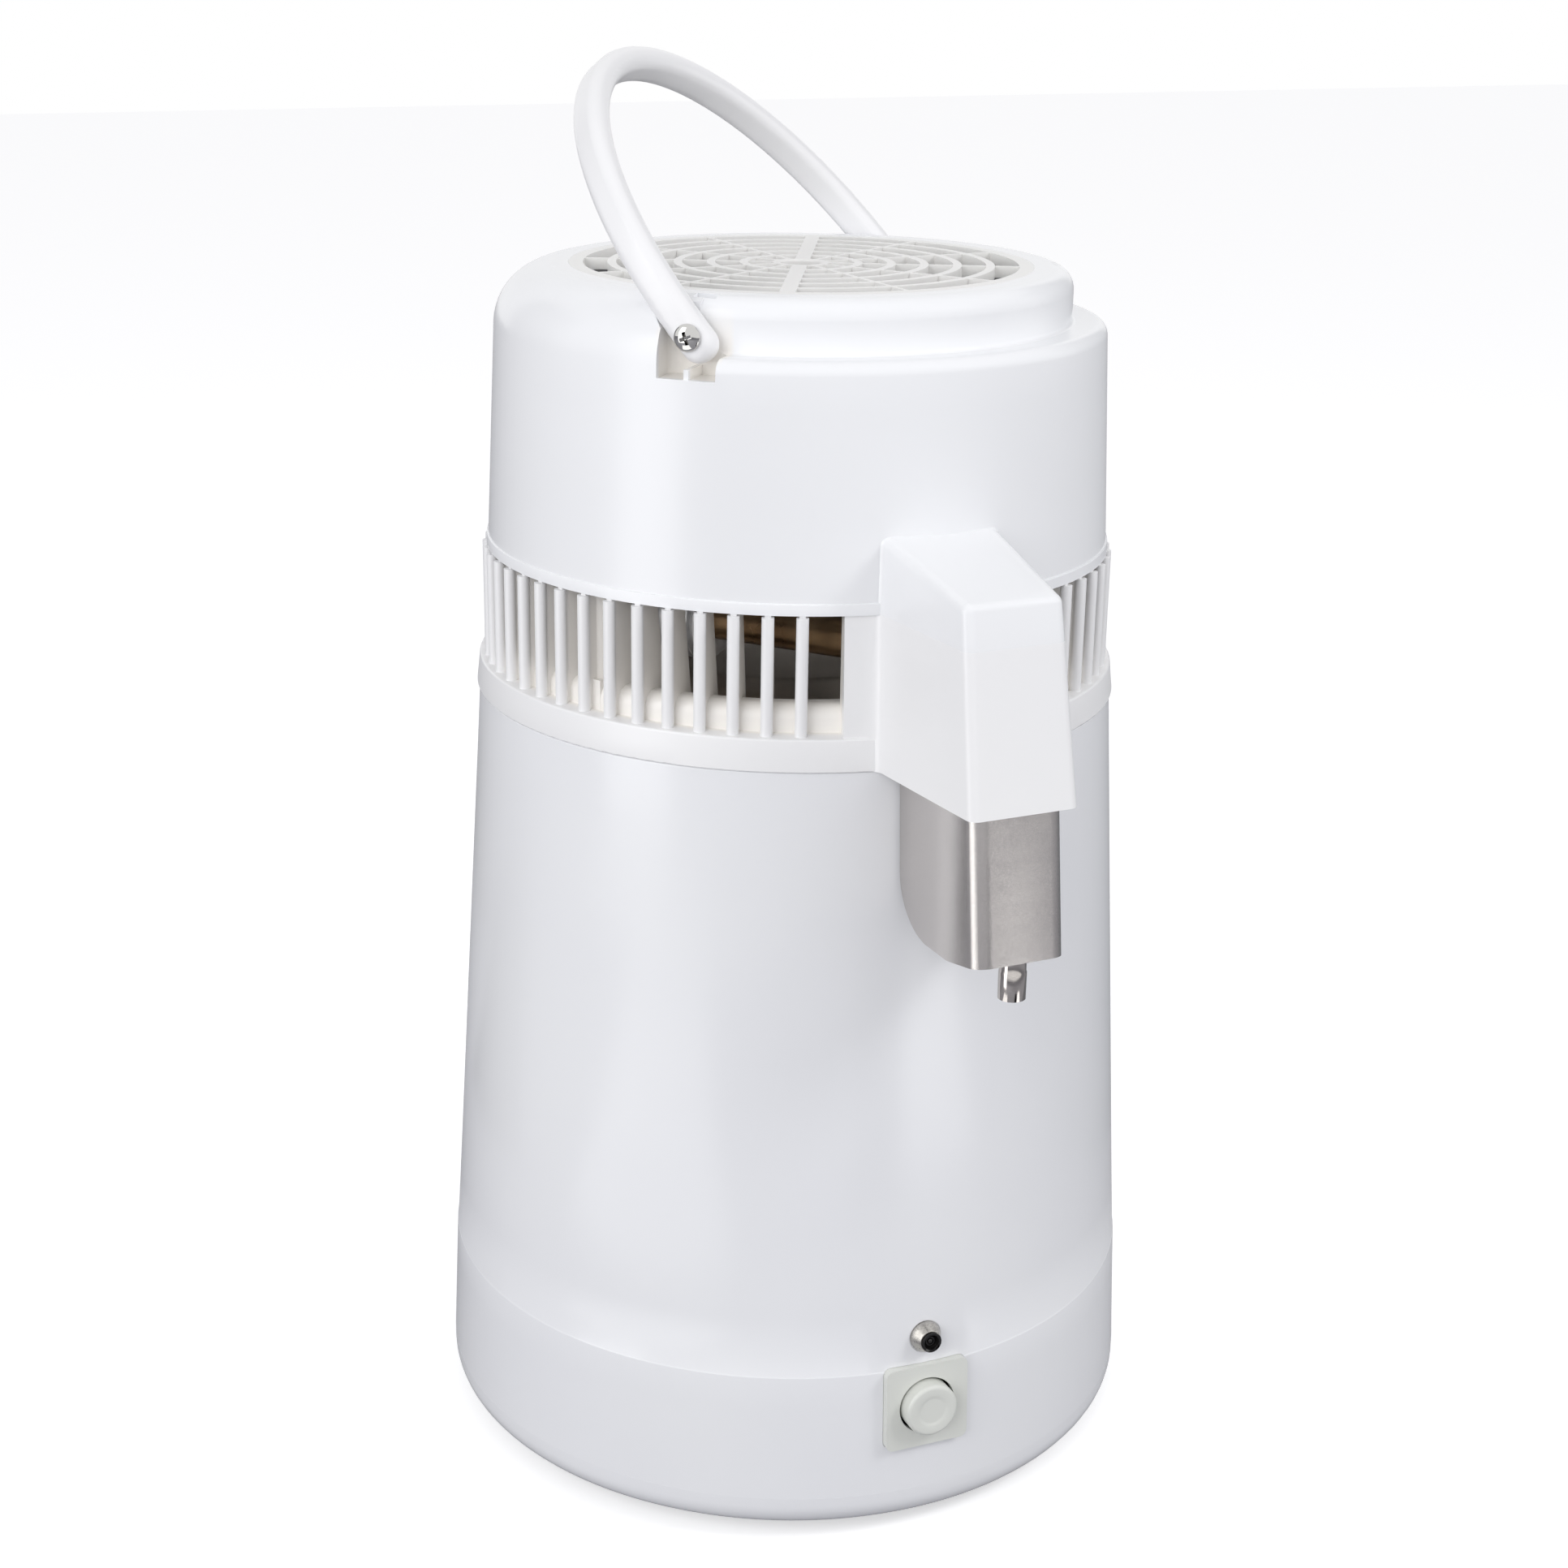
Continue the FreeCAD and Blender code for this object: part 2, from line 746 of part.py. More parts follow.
def make_heater_plate():
    """Aluminium plate under the pot, with a groove for the heating element."""
    thickness = size("heater_thickness")
    plate = turned("heater_plate", [
        (0, pot_underside - thickness),
        (size("heater_radius"), pot_underside - thickness, 1.5),
        (size("heater_radius"), pot_underside),
        (0, pot_underside),
    ])
    groove = plate.newObject("PartDesign::Groove", "element_groove")
    sketch = new_sketch(plate, "XZ_Plane")
    bar = size("element_bar") + fit_gap
    circles(sketch, [(size("element_ring"), pot_underside - thickness, bar)])
    groove.Profile = sketch
    groove.ReferenceAxis = (sketch, ["V_Axis"])
    groove.Angle = 360
    return plate


def make_heater_element():
    """Ring of mineral-insulated heating bar whose two ends turn down to their terminals."""
    bar, ring = size("element_bar"), size("element_ring")
    height = pot_underside - size("heater_thickness")
    torus = doc.addObject("Part::Torus", "element_ring")
    drive(torus, "Radius1", ring)
    drive(torus, "Radius2", bar)
    torus.Angle3 = 320
    place(torus, 0, 0, height, yaw=-250)
    ends = []
    for index, azimuth in enumerate((-160, 160)):
        x, y = ring * sine(azimuth), -ring * cosine(azimuth)
        leg = doc.addObject("Part::Cylinder", "element_leg%d" % index)
        drive(leg, "Radius", bar)
        leg.Height = 12
        place(leg, x, y, height - 12)
        elbow = doc.addObject("Part::Sphere", "element_elbow%d" % index)
        drive(elbow, "Radius", bar)
        place(elbow, x, y, height)
        tab = block("element_tab%d" % index, 6.3, 0.8, 9, x, y, height - 21)
        ends += [leg, elbow, tab]
    return joined("heater_element", torus, *ends)


def make_thermal_cutouts():
    """Two disc thermostats clamped under the middle of the heater plate."""
    top = pot_underside - size("heater_thickness")
    cans = []
    for index, side in enumerate((-1, 1)):
        can = rod("thermostat_can%d" % index, 8, 7, 14.0 * side, 0, top - 7)
        tabs = [block("thermostat_tab%d_%d" % (index, step), 6.3, 0.8, 9, 14.0 * side, 4.0 * step, top - 15)
                for step in (-1, 1)]
        cans.append(joined("thermostat%d" % index, can, *tabs))
    group = doc.addObject("Part::Compound", "thermal_cutouts")
    group.Label = "thermal_cutouts"
    group.Links = cans
    return group


def make_tie_rods():
    """Studs welded under the pot that pull it, the wall and the base pan together."""
    bottom = size("pan_bottom") - 3
    stud = rod("stud", size("rod_radius"), pot_underside - bottom, 0, -size("rod_circle"), bottom)
    return turned_copies("tie_rods", stud, evenly(3, 60))


def hexagon(across_flats):
    """Corners of a hexagon by its width over flats."""
    across_corners = formula(across_flats) / (2 * cosine(30))
    return [(across_corners * cosine(60.0 * i), across_corners * sine(60.0 * i)) if i % 3
            else (across_corners * (1 if i == 0 else -1), 0) for i in range(6)]


def make_tie_nuts():
    nut = new_body("stud_nut")
    pad(nut, outline(new_sketch(nut), hexagon(7)), 2.4)
    pocket(nut, circles(new_sketch(nut), [(0, 0, size("rod_radius") + fit_gap)]), 2.4, backwards=True)
    place(nut, 0, -size("rod_circle"), size("pan_bottom") - 2.4)
    return turned_copies("tie_nuts", nut, evenly(3, 60))


# ---------------------------------------------------------------- controls and mains inlet

def at_switch(thing, depth=0):
    height = size("switch_height")
    return on_wall(thing, skirt_wall(height), height, size("control_turn"), skirt_slope, depth=depth)


def make_switch_plate():
    """Square bezel of the start button, seated in the wall."""
    side = size("plate_side") / 2
    plate = new_body("switch_plate")
    thickness = size("plate_seat") + size("plate_proud")
    pad(plate, outline(new_sketch(plate), rectangle(-side, side, -side, side, 2.5)), thickness)
    pocket(plate, circles(new_sketch(plate), [(0, 0, size("plate_hole"))]), thickness, backwards=True)
    return at_switch(plate, -size("plate_seat"))


def make_switch_housing():
    """Switch body behind the plate, with the bore that guides the button's stem."""
    side, depth = size("housing_side") / 2, size("housing_depth")
    housing = new_body("switch_housing")
    pad(housing, outline(new_sketch(housing), rectangle(-side, side, -side, side, 1)), depth, backwards=True)
    room = size("button_travel") + size("housing_cap") + loose_gap * 2
    pocket(housing, circles(new_sketch(housing), [(0, 0, size("plate_hole"))]), room)
    bore = size("button_stem") + size("running_gap")
    pocket(housing, circles(new_sketch(housing), [(0, 0, bore)]), depth - 2)
    for side_x in (-6.0, 6.0):
        blade = outline(new_sketch(housing, offset=-depth), rectangle(side_x - 0.4, side_x + 0.4, -3.2, 3.2))
        pad(housing, blade, 8, backwards=True)
    return at_switch(housing, -size("plate_seat"))


def make_start_button():
    """Round push button: a dished cap on a guiding stem."""
    face = size("plate_seat") + size("plate_proud") + size("button_proud")
    cap = turned("start_button", [
        (0, -size("housing_cap")),
        (size("button_radius"), -size("housing_cap")),
        (size("button_radius"), face, 1.2),
        (size("button_radius") - 3.2, face),
        (size("button_radius") - 4.4, face - 0.3, 2),
        (0, face - 0.3),
    ])
    stem_length = size("housing_depth") - 2 - size("button_travel") - loose_gap
    pad(cap, circles(new_sketch(cap), [(0, 0, size("button_stem"))]), stem_length, backwards=True)
    return at_switch(cap, -size("plate_seat"))


def at_led(thing, depth=0):
    height = size("led_height")
    azimuth = size("control_turn")
    return on_wall(thing, shell_radius(height), height, azimuth, shell_slope, depth=depth - loose_gap)


def make_led_bezel():
    bore = size("led_lens") + fit_gap
    bezel = turned("led_bezel", [
        (bore, -8),
        (size("led_shank"), -8),
        (size("led_shank"), 0),
        (size("led_radius"), 0),
        (size("led_radius"), 1),
        (size("led_radius") - 1.6, size("led_proud") + loose_gap, 0.3),
        (bore, size("led_proud") + loose_gap),
    ])
    return at_led(bezel)


def make_led_lens():
    lens = turned("led_lens", [
        (0, -10),
        (size("led_lens"), -10),
        (size("led_lens"), size("led_proud"), 1.6),
        (0, size("led_proud")),
    ])
    return at_led(lens)


def make_led_nut():
    nut = new_body("led_nut")
    pad(nut, outline(new_sketch(nut), hexagon(10)), 2.5)
    pocket(nut, circles(new_sketch(nut), [(0, 0, size("led_shank") + fit_gap)]), 2.5, backwards=True)
    return at_led(nut, -(shell_wall + 2.5 - loose_gap + 0.2))


PIN_PLACES = ((-7.0, -2.0), (7.0, -2.0), (0.0, 2.0))


def inlet_profile(wide, tall, chamfer):
    """Rectangle with its two upper corners cut off, as a mains connector has."""
    return [(-wide, -tall), (wide, -tall), (wide, tall - chamfer), (wide - chamfer, tall),
            (chamfer - wide, tall), (-wide, tall - chamfer)]


def make_power_inlet():
    """Mains inlet: a flange seated in the wall and a socket behind it."""
    wide, tall = size("inlet_wide") / 2, size("inlet_tall") / 2
    front = size("inlet_seat") + 1.2
    inlet = new_body("power_inlet")
    pad(inlet, outline(new_sketch(inlet), rectangle(-wide, wide, -tall, tall, 3)), front)
    trunk = rectangle(-(wide - 2.2), wide - 2.2, -(tall - 2.2), tall - 2.2, 1.2)
    pad(inlet, outline(new_sketch(inlet), trunk), size("inlet_depth"), backwards=True)
    socket = inlet_profile(wide - 3.6, tall - 3.8, 4)
    depth = size("inlet_depth") + front - 4
    pocket(inlet, outline(new_sketch(inlet, offset=front), socket), depth)
    slots = new_sketch(inlet, offset=-size("inlet_depth"))
    for x, y in PIN_PLACES:
        outline(slots, rectangle(x - 1, x + 1, y - 2, y + 2))
    pocket(inlet, slots, 6, backwards=True)
    height = size("inlet_height")
    return on_wall(inlet, skirt_wall(height), height, 180, skirt_slope, depth=-size("inlet_seat"))


def make_inlet_pins():
    """Three flat contact pins with their tails behind the socket."""
    pins = []
    height = size("inlet_height")
    for index, (x, y) in enumerate(PIN_PLACES):
        pin = new_body("contact_pin%d" % index)
        start = size("inlet_depth") + 8
        pad(pin, outline(new_sketch(pin, offset=-start), rectangle(x - 1, x + 1, y - 2, y + 2)), 28)
        on_wall(pin, skirt_wall(height), height, 180, skirt_slope, depth=-size("inlet_seat"))
        pins.append(pin)
    group = doc.addObject("Part::Compound", "inlet_pins")
    group.Label = "inlet_pins"
    group.Links = pins
    return group


# ---------------------------------------------------------------- head cover

def cover_form(label, inset):
    """Outer form of the head, or the room inside it where the inset is the wall's thickness.

    Built with the handle's pivots along X, the low ledge on -Y and the high shoulder on +Y.
    """
    bottom = cover_rim if inset is None else cover_rim - 5
    wall = 0 if inset is None else inset
    top = cover_top - wall
    side_foot = cover_radius(bottom) - wall
    side_shoulder = cover_radius(top) - wall
    side_ledge = cover_radius(ledge_height - wall) - wall
    drum = drum_radius - wall
    form = new_body(label)
    spin(form, [
        (0, bottom),
        (side_foot, bottom),
        (side_shoulder, top, size("shoulder_round") - wall),
        (0, top),
    ], angle=180)
    spin(form, [
        (0, bottom),
        (side_foot, bottom),
        (side_ledge, ledge_height - wall, size("ledge_round") - wall * 0.8),
        (drum, ledge_height - wall, 1.2),
        (drum, top, size("drum_round") - wall),
        (0, top),
    ], angle=180, backwards=True)
    if inset is None:
        lip = size("rim_lip_proud")
        spin(form, [
            (side_foot - 2, bottom),
            (side_foot + lip, bottom),
            (cover_radius(bottom + size("rim_lip")) + lip, bottom + size("rim_lip"), 0.4),
            (cover_radius(bottom + size("rim_lip")) - 2, bottom + size("rim_lip")),
        ])
    half, corner = size("notch_half") + wall, size("notch_corner") + wall
    outside = rim_radius + 12
    notches = (
        [(drum, -half, corner), (outside, -half), (outside, half), (drum, half, corner)],
        [(-outside, -half), (-drum, -half, corner), (-drum, half, corner), (-outside, half)],
    )
    for corners in notches:
        notch = outline(new_sketch(form, offset=notch_floor - wall), corners)
        pocket(form, notch, size("notch_depth") + size("pivot_drop") + 10, backwards=True)
    place(form, 0, 0, 0, yaw=pivot_azimuth)
    channel = new_body(label + "_channel")
    inner = handle_arc - size("bar_radial") / 2 - size("handle_side_gap") - wall
    across = size("bar_across") / 2 + size("stop_gap") + wall
    sketch = outline(new_sketch(channel), rectangle(inner, outside + 2, -across, across))
    ring = channel.newObject("PartDesign::Revolution", "channel_ring")
    ring.Profile = sketch
    ring.ReferenceAxis = (sketch, ["V_Axis"])
    ring.Angle = 180
    ring.Reversed = True
    place(channel, 0, 0, pivot_height, yaw=pivot_azimuth, roll=-size("handle_lean"))
    return cut(label + "_cut", form, channel)


def spout_reach(height):
    """Distance from the axis to the spout housing's front face at a height."""
    lean = (spout_bottom_reach - spout_top_reach) / (spout_top_height - head_seam)
    return spout_bottom_reach - lean * (height - head_seam)


def spout_half(height):
    """Half the width of the spout housing's front face at a height."""
    taper = (size("spout_bottom_half") - size("spout_top_half")) / (spout_top_height - head_seam)
    return size("spout_bottom_half") - taper * (height - head_seam)


def spout_plan(height, inset, root):
    """Plan of the spout housing at a height: outside with flared roots, inside plain.

    root is how near the axis the housing starts, or None where it starts inside the band's wall.
    """
    wall = 0 if inset is None else inset
    front = -(spout_reach(height) - wall)
    half = spout_half(height) - wall
    corner = size("spout_corner") - wall * 0.8
    wide = half + size("spout_root_flare")
    if inset is not None:
        return [(-wide, -root), (-half, front, corner), (half, front, corner), (wide, -root)]
    surface = band_radius(height) if root is None else cover_radius(height)
    depth, round_in = size("spout_root_depth"), size("spout_root_round")
    wall_line = depth - surface
    tip = wide + size("spout_wing")
    heel, back = (wide - depth, wall_line + depth) if root is None else (tip, -root)
    return [
        (-wide, wall_line, round_in), (-half, front, corner), (half, front, corner), (wide, wall_line, round_in),
        (tip, wall_line + round_in), (heel, back), (-heel, back), (-tip, wall_line + round_in),
    ]


def spout_form(label, low, high, inset, root):
    """Tapered spout housing between two heights."""
    form = new_body(label)
    lower = outline(new_sketch(form, offset=low), spout_plan(low, inset, root))
    upper = outline(new_sketch(form, offset=high), spout_plan(high, inset, root))
    loft = form.newObject("PartDesign::AdditiveLoft", label + "_loft")
    loft.Profile = lower
    loft.Sections = [upper]
    loft.Ruled = True
    return form


def slope_spout(form, inset):
    """Cut the housing's top to its slope and, on the outside, round the edges there."""
    wall = 0 if inset is None else inset
    front, back = spout_top_reach, 96.2
    low, high = spout_top_height - wall, spout_root_height - wall
    fall = (high - low) / (front - back)
    sketch = outline(new_sketch(form, "YZ_Plane"), [
        (-180, low - fall * (180 - front)),
        (-40, high + fall * (back - 40)),
        (-40, 360),
        (-180, 360),
    ])
    pocket(form, sketch, 120, symmetric=True)
    doc.recompute()
    slope = fall.value
    plane = low.value + slope * front.value

    def on_slope(edge):
        box = edge.BoundBox
        middle = edge.valueAt((edge.FirstParameter + edge.LastParameter) / 2)
        flat = abs(middle.z - (plane + slope * middle.y)) < 0.01
        return flat and box.YMin < -103 and box.YMax < -98.5

    if inset is None:
        round_edges(form, size("spout_corner") - 0.3, on_slope)
    return form


def make_head_cover():
    """Moulded cover: shoulder, ledge, drum, handle notches, upper half of the spout and its bosses."""
    high = spout_root_height + 6
    outside = joined("cover_outside", cover_form("cover_outer", None),
                     slope_spout(spout_form("spout_outer", cover_rim, high, None, 88), None))
    room = spout_form("spout_room", cover_rim - 5, high, size("spout_wall"), 84)
    inside = joined("cover_inside", cover_form("cover_inner", cover_wall),
                    slope_spout(room, size("spout_wall")))
    shell = cut("cover_shell", outside, inside)

    grille_seat = cover_top - size("grille_thickness")
    ring = turned("grille_ledge", [
        (grille_opening, grille_seat - 2.2),
        (grille_radius + 1.5, grille_seat - 2.2),
        (grille_radius + 2.6, grille_seat + 1.5),
        (grille_opening, grille_seat + 1.5),
    ])
    additions, holes = [ring], []
    holes.append(rod("grille_seat", grille_radius + size("grille_fit"), 10, 0, 0, grille_seat))
    holes.append(rod("grille_opening", grille_opening, 20, 0, 0, grille_seat - 10))
    for index, azimuth in enumerate((pivot_azimuth - 90, pivot_azimuth + 90)):
        across, along = sine(azimuth), cosine(azimuth)
        start = drum_radius - size("pivot_boss")
        boss = rod("pivot_boss%d" % index, 4.5, size("pivot_boss") - 1, start * across, -start * along,
                   pivot_height, yaw=azimuth, roll=90)
        hole = rod("pivot_hole%d" % index, size("pivot_screw") + fit_gap, 20, (start + 1.5) * across,
                   -(start + 1.5) * along, pivot_height, yaw=azimuth, roll=90)
        rib_reach = drum_radius + size("ledge_width") / 2 - 0.6
        additions.append(boss)
        additions.append(block("notch_rib%d" % index, size("notch_rib"), size("ledge_width"),
                               size("notch_rib_height") + 0.5, rib_reach * across, -rib_reach * along,
                               notch_floor - 0.5, yaw=azimuth))
        holes.append(hole)
        reach = size("recess_reach")
        holes.append(block("top_recess%d" % index, size("recess_wide"), size("recess_deep"), 5,
                           reach * across, -reach * along, cover_top - size("recess_depth"), yaw=azimuth))
    for index, azimuth in enumerate(evenly(3)):
        x, y = bracket_circle * sine(azimuth), -bracket_circle * cosine(azimuth)
        column = rod("bracket_column%d" % index, 4, 22, x, y, bracket_height - 22)
        rib_length = 10.5
        reach = bracket_circle + rib_length / 2
        rib = block("bracket_rib%d" % index, 2.4, rib_length, 22, reach * sine(azimuth),
                    -reach * cosine(azimuth), bracket_height - 22, yaw=azimuth)
        additions += [column, rib]
        holes.append(rod("bracket_hole%d" % index, 1.3, 12, x, y, bracket_height - 10))
    for index, azimuth in enumerate(post_azimuths()):
        x, y = post_circle * sine(azimuth), -post_circle * cosine(azimuth)
        additions.append(rod("cover_post%d" % index, size("post_radius") + 0.8, 12, x, y, cover_rim))
        reach = post_circle + 3
        additions.append(block("cover_post_rib%d" % index, 3, 6, 12, reach * sine(azimuth),
                               -reach * cosine(azimuth), cover_rim, yaw=azimuth))
        holes.append(rod("cover_post_hole%d" % index, 1.4, 9, x, y, cover_rim))
    socket = fan_inlet_block("fan_inlet_hole", fit_gap, 20)
    on_cover_back(socket, -10)
    seat = new_body("fan_inlet_seat")
    wide, tall = size("fan_inlet_wide") / 2 + 2 + fit_gap, size("fan_inlet_tall") / 2 + 2 + fit_gap
    pad(seat, outline(new_sketch(seat), rectangle(-wide, wide, -tall, tall, 2)), 10)
    on_cover_back(seat, -0.9)
    shape = joined("cover_with_bosses", shell, *additions)
    return cut("head_cover", shape, socket, seat, *holes)


def post_azimuths():
    """Azimuths of the three screw posts, each in line with a fin."""
    return (-size("post_azimuth"), size("post_azimuth"), formula(180))


def on_cover_back(thing, depth):
    height = fan_inlet_height
    return on_wall(thing, cover_radius(height), height, 180, cover_slope, depth=depth)


def fan_inlet_block(label, margin, length):
    body = new_body(label)
    wide, tall = size("fan_inlet_wide") / 2 + margin, size("fan_inlet_tall") / 2 + margin
    pad(body, outline(new_sketch(body), rectangle(-wide, wide, -tall, tall, 1.5)), length)
    return body


def make_fan_inlet():
    """Small low-voltage socket at the back of the head."""
    depth, flange = 14.0, 2.0
    body = fan_inlet_block("fan_inlet", 0, depth)
    wide, tall = size("fan_inlet_wide") / 2 + 2, size("fan_inlet_tall") / 2 + 2
    pad(body, outline(new_sketch(body, offset=depth), rectangle(-wide, wide, -tall, tall, 2)), flange)
    bores = [(-4.5, 0, 3), (4.5, 0, 3)]
    pocket(body, circles(new_sketch(body, offset=depth + flange), bores), depth + flange - 3)
    return on_cover_back(body, -(depth + 0.9))


def make_fan_inlet_pins():
    pins = []
    for index, side in enumerate((-4.5, 4.5)):
        pin = new_body("fan_pin%d" % index)
        pad(pin, circles(new_sketch(pin), [(side, 0, 1.1)]), 9)
        pins.append(on_cover_back(pin, -(14 + 0.9 - 3)))
    group = doc.addObject("Part::Compound", "fan_inlet_pins")
    group.Label = "fan_inlet_pins"
    group.Links = pins
    return group


def make_top_grille():
    """Round grille pressed flush into the cover: rings on twelve spokes, one pair of them broad."""
    opening, hub, bar = grille_opening - size("grille_overlap"), size("grille_hub"), size("grille_bar")
    bottom, above = cover_top - size("grille_thickness"), cover_top + 1
    disc = turned("grille_disc", [
        (hub, bottom), (grille_radius, bottom), (grille_radius, cover_top), (hub, cover_top, 0.6),
    ])
    gaps = int(SIZES["grille_gaps"])
    pitch = (opening - hub) / gaps
    rings = []
    for index in range(gaps):
        inner, outer = hub + pitch * index + bar, hub + pitch * (index + 1)
        rings.append(turned("grille_gap%d" % index, [
            (inner, bottom - 1), (outer, bottom - 1), (outer, above), (inner, above),
        ]))
    spokes = []
    for index in range(6):
        wide = size("grille_wide_spoke") if index == 5 else size("grille_spoke")
        spokes.append(block("grille_spoke%d" % index, wide, grille_radius * 2.2, size("grille_thickness") + 4,
                            0, 0, bottom - 2, yaw=size("grille_turn") + 30.0 * index))
    gap_tool = cut("grille_gaps", joined("grille_rings", *rings), *spokes)
    return cut("top_grille", disc, gap_tool)


# ---------------------------------------------------------------- vent band with the lower spout

def make_vent_band():
    """Moulded ring under the cover: seam ring, collar, round the back fins, and the lower spout."""
    top = collar_top
    outer, inner = collar_outer, collar_inner
    skirt = neck_radius - shell_wall - size("skirt_gap")
    pan_top = gasket_top + size("dome_metal")
    band = new_body("band_ring")
    spin(band, [
        (skirt - 1.9, head_seam - size("skirt_depth")),
        (skirt, head_seam - size("skirt_depth")),
        (skirt, head_seam),
        (ring_bottom_radius, head_seam, 0.5),
        (ring_top_radius, ring_top, 0.8),
        (outer, ring_top + 0.3),
        (outer, top, 4.5),
        (inner, top, 4.5),
        (inner, pan_top),
        (inner + 2.4, pan_top),
        (inner + 2.4, top - 3.4),
        (outer - 2.4, top - 3.4),
        (outer - 2.4, pan_top),
        (skirt - 1.9, pan_top),
    ])
    start, foot = size("fin_start"), fin_foot
    upright = cover_rim - size("fin_top_gap")
    blade_sketch = outline(new_sketch(band, "XZ_Plane", turn=start - 90), [
        (foot, ring_top - 1),
        (fin_rod_circle, ring_top - 1),
        (fin_rod_circle, upright),
        (fin_head, upright),
        (foot, top - 2),
    ])
    blade = pad(band, blade_sketch, size("fin_blade"), symmetric=True)
    x, y = fin_rod_circle * sine(start), -fin_rod_circle * cosine(start)
    rod_sketch = circles(new_sketch(band, offset=ring_top - 1), [(x, y, size("fin_rod"))])
    fin_rod = pad(band, rod_sketch, cover_rim - size("fin_rod_drop") - ring_top + 1)
    count = size("fin_count")
    repeat(band, [blade, fin_rod], count, 360 - 2 * start)

    panel = new_body("side_panels")
    spin(panel, [
        (panel_inner, ring_top - 1),
        (ring_top_radius - 0.8, ring_top - 1),
        (rim_radius - 0.4, cover_rim),
        (panel_inner, cover_rim),
    ], angle=size("panel_half_angle") * 2, middle=True)
    place(panel, 0, 0, 0, yaw=-90)
    parts = [band, panel, spout_form("spout_lower", head_seam, cover_rim, None, None)]
    holes = [spout_form("spout_lower_room", head_seam - 4, cover_rim + 4, size("spout_wall"), 103)]
    passage = size("spout_bottom_half") + size("spout_root_flare") - size("spout_wall") - 1
    bridge = top + 3
    holes.append(block("passage", passage * 2, 24, cover_rim - bridge + 4, 0, -92, bridge))
    for index, azimuth in enumerate(post_azimuths()):
        x, y = post_circle * sine(azimuth), -post_circle * cosine(azimuth)
        parts.append(rod("post%d" % index, size("post_radius"), cover_rim - pan_top, x, y, pan_top))
        parts.append(block("post_foot%d" % index, 8, 10.5, top + 1 - ring_top, x, y, ring_top, yaw=azimuth))
        holes.append(rod("post_hole%d" % index, 1.6, 60, x, y, pan_top - 1))
        holes.append(rod("post_bore%d" % index, 2.9, 3.5, x, y, pan_top))
    return cut("vent_band", joined("band_parts", *parts), *holes)


def make_band_screws():
    """Screws from under the band up into the cover's posts."""
    pan_top = gasket_top + size("dome_metal")
    screw = turned("band_screw", [
        (0, pan_top + 0.9),
        (2.7, pan_top + 0.9),
        (2.7, pan_top + 3.5),
        (1.3, pan_top + 3.5),
        (1.3, cover_rim + 8),
        (0, cover_rim + 8),
    ])
    return screw_group("band_screws", screw, post_circle, [a.value for a in post_azimuths()])


def screw_group(label, screw, circle, azimuths):
    """Copies of an upright screw on a circle."""
    doc.recompute()
    radius = formula(circle).value
    copies = []
    for azimuth in azimuths:
        copy = screw.Shape.copy()
        angle = math.radians(azimuth)
        copy.translate(FreeCAD.Vector(radius * math.sin(angle), -radius * math.cos(angle), 0))
        copies += copy.Solids
    group = doc.addObject("Part::Feature", label)
    group.Label = label
    group.Shape = Part.makeCompound(copies)
    return group


def make_steam_gasket():
    """Silicone ring between the pot's flange and the condenser pan."""
    bottom, top = pot_rim, gasket_top
    inner, outer = pot_radius + 0.1, gasket_outer
    return turned("steam_gasket", [
        (inner, bottom), (outer, bottom), (outer, bottom + 2.4), (outer - 1.6, bottom + 3.6),
        (outer, bottom + 4.8), (outer, top), (inner, top),
    ])


def make_condenser_pan():
    """Domed steel lid that gathers the steam, with a collar hole for the riser."""
    low, metal, high = gasket_top, size("dome_metal"), dome_top
    foot = collar_inner - 1.6
    lid = turned("dome_sheet", [
        (0, high - metal),
        (58, high - metal, 8),
        (foot, low, 3),
        (gasket_outer, low),
        (gasket_outer, low + metal),
        (foot + 0.3, low + metal, 3 + metal),
        (58.2, high, 8 + metal),
        (0, high),
    ])
    route = coil_corners()
    hole = rod("riser_hole", pipe_radius + fit_gap, 20, 0, 0, high - 10)
    doc.recompute()
    hole.setExpression("Placement", None)
    hole.Placement.Base = FreeCAD.Vector(route["riser"].x, route["riser"].y, hole.Placement.Base.z)
    return cut("condenser_pan", lid, hole)


# ---------------------------------------------------------------- condenser

def read(name):
    """A size from the sheet."""
    return float(sheet.get(name))


def around(radius, azimuth, height):
    """Point at a radius and azimuth."""
    angle = math.radians(azimuth)
    return FreeCAD.Vector(radius * math.sin(angle), -radius * math.cos(angle), height)


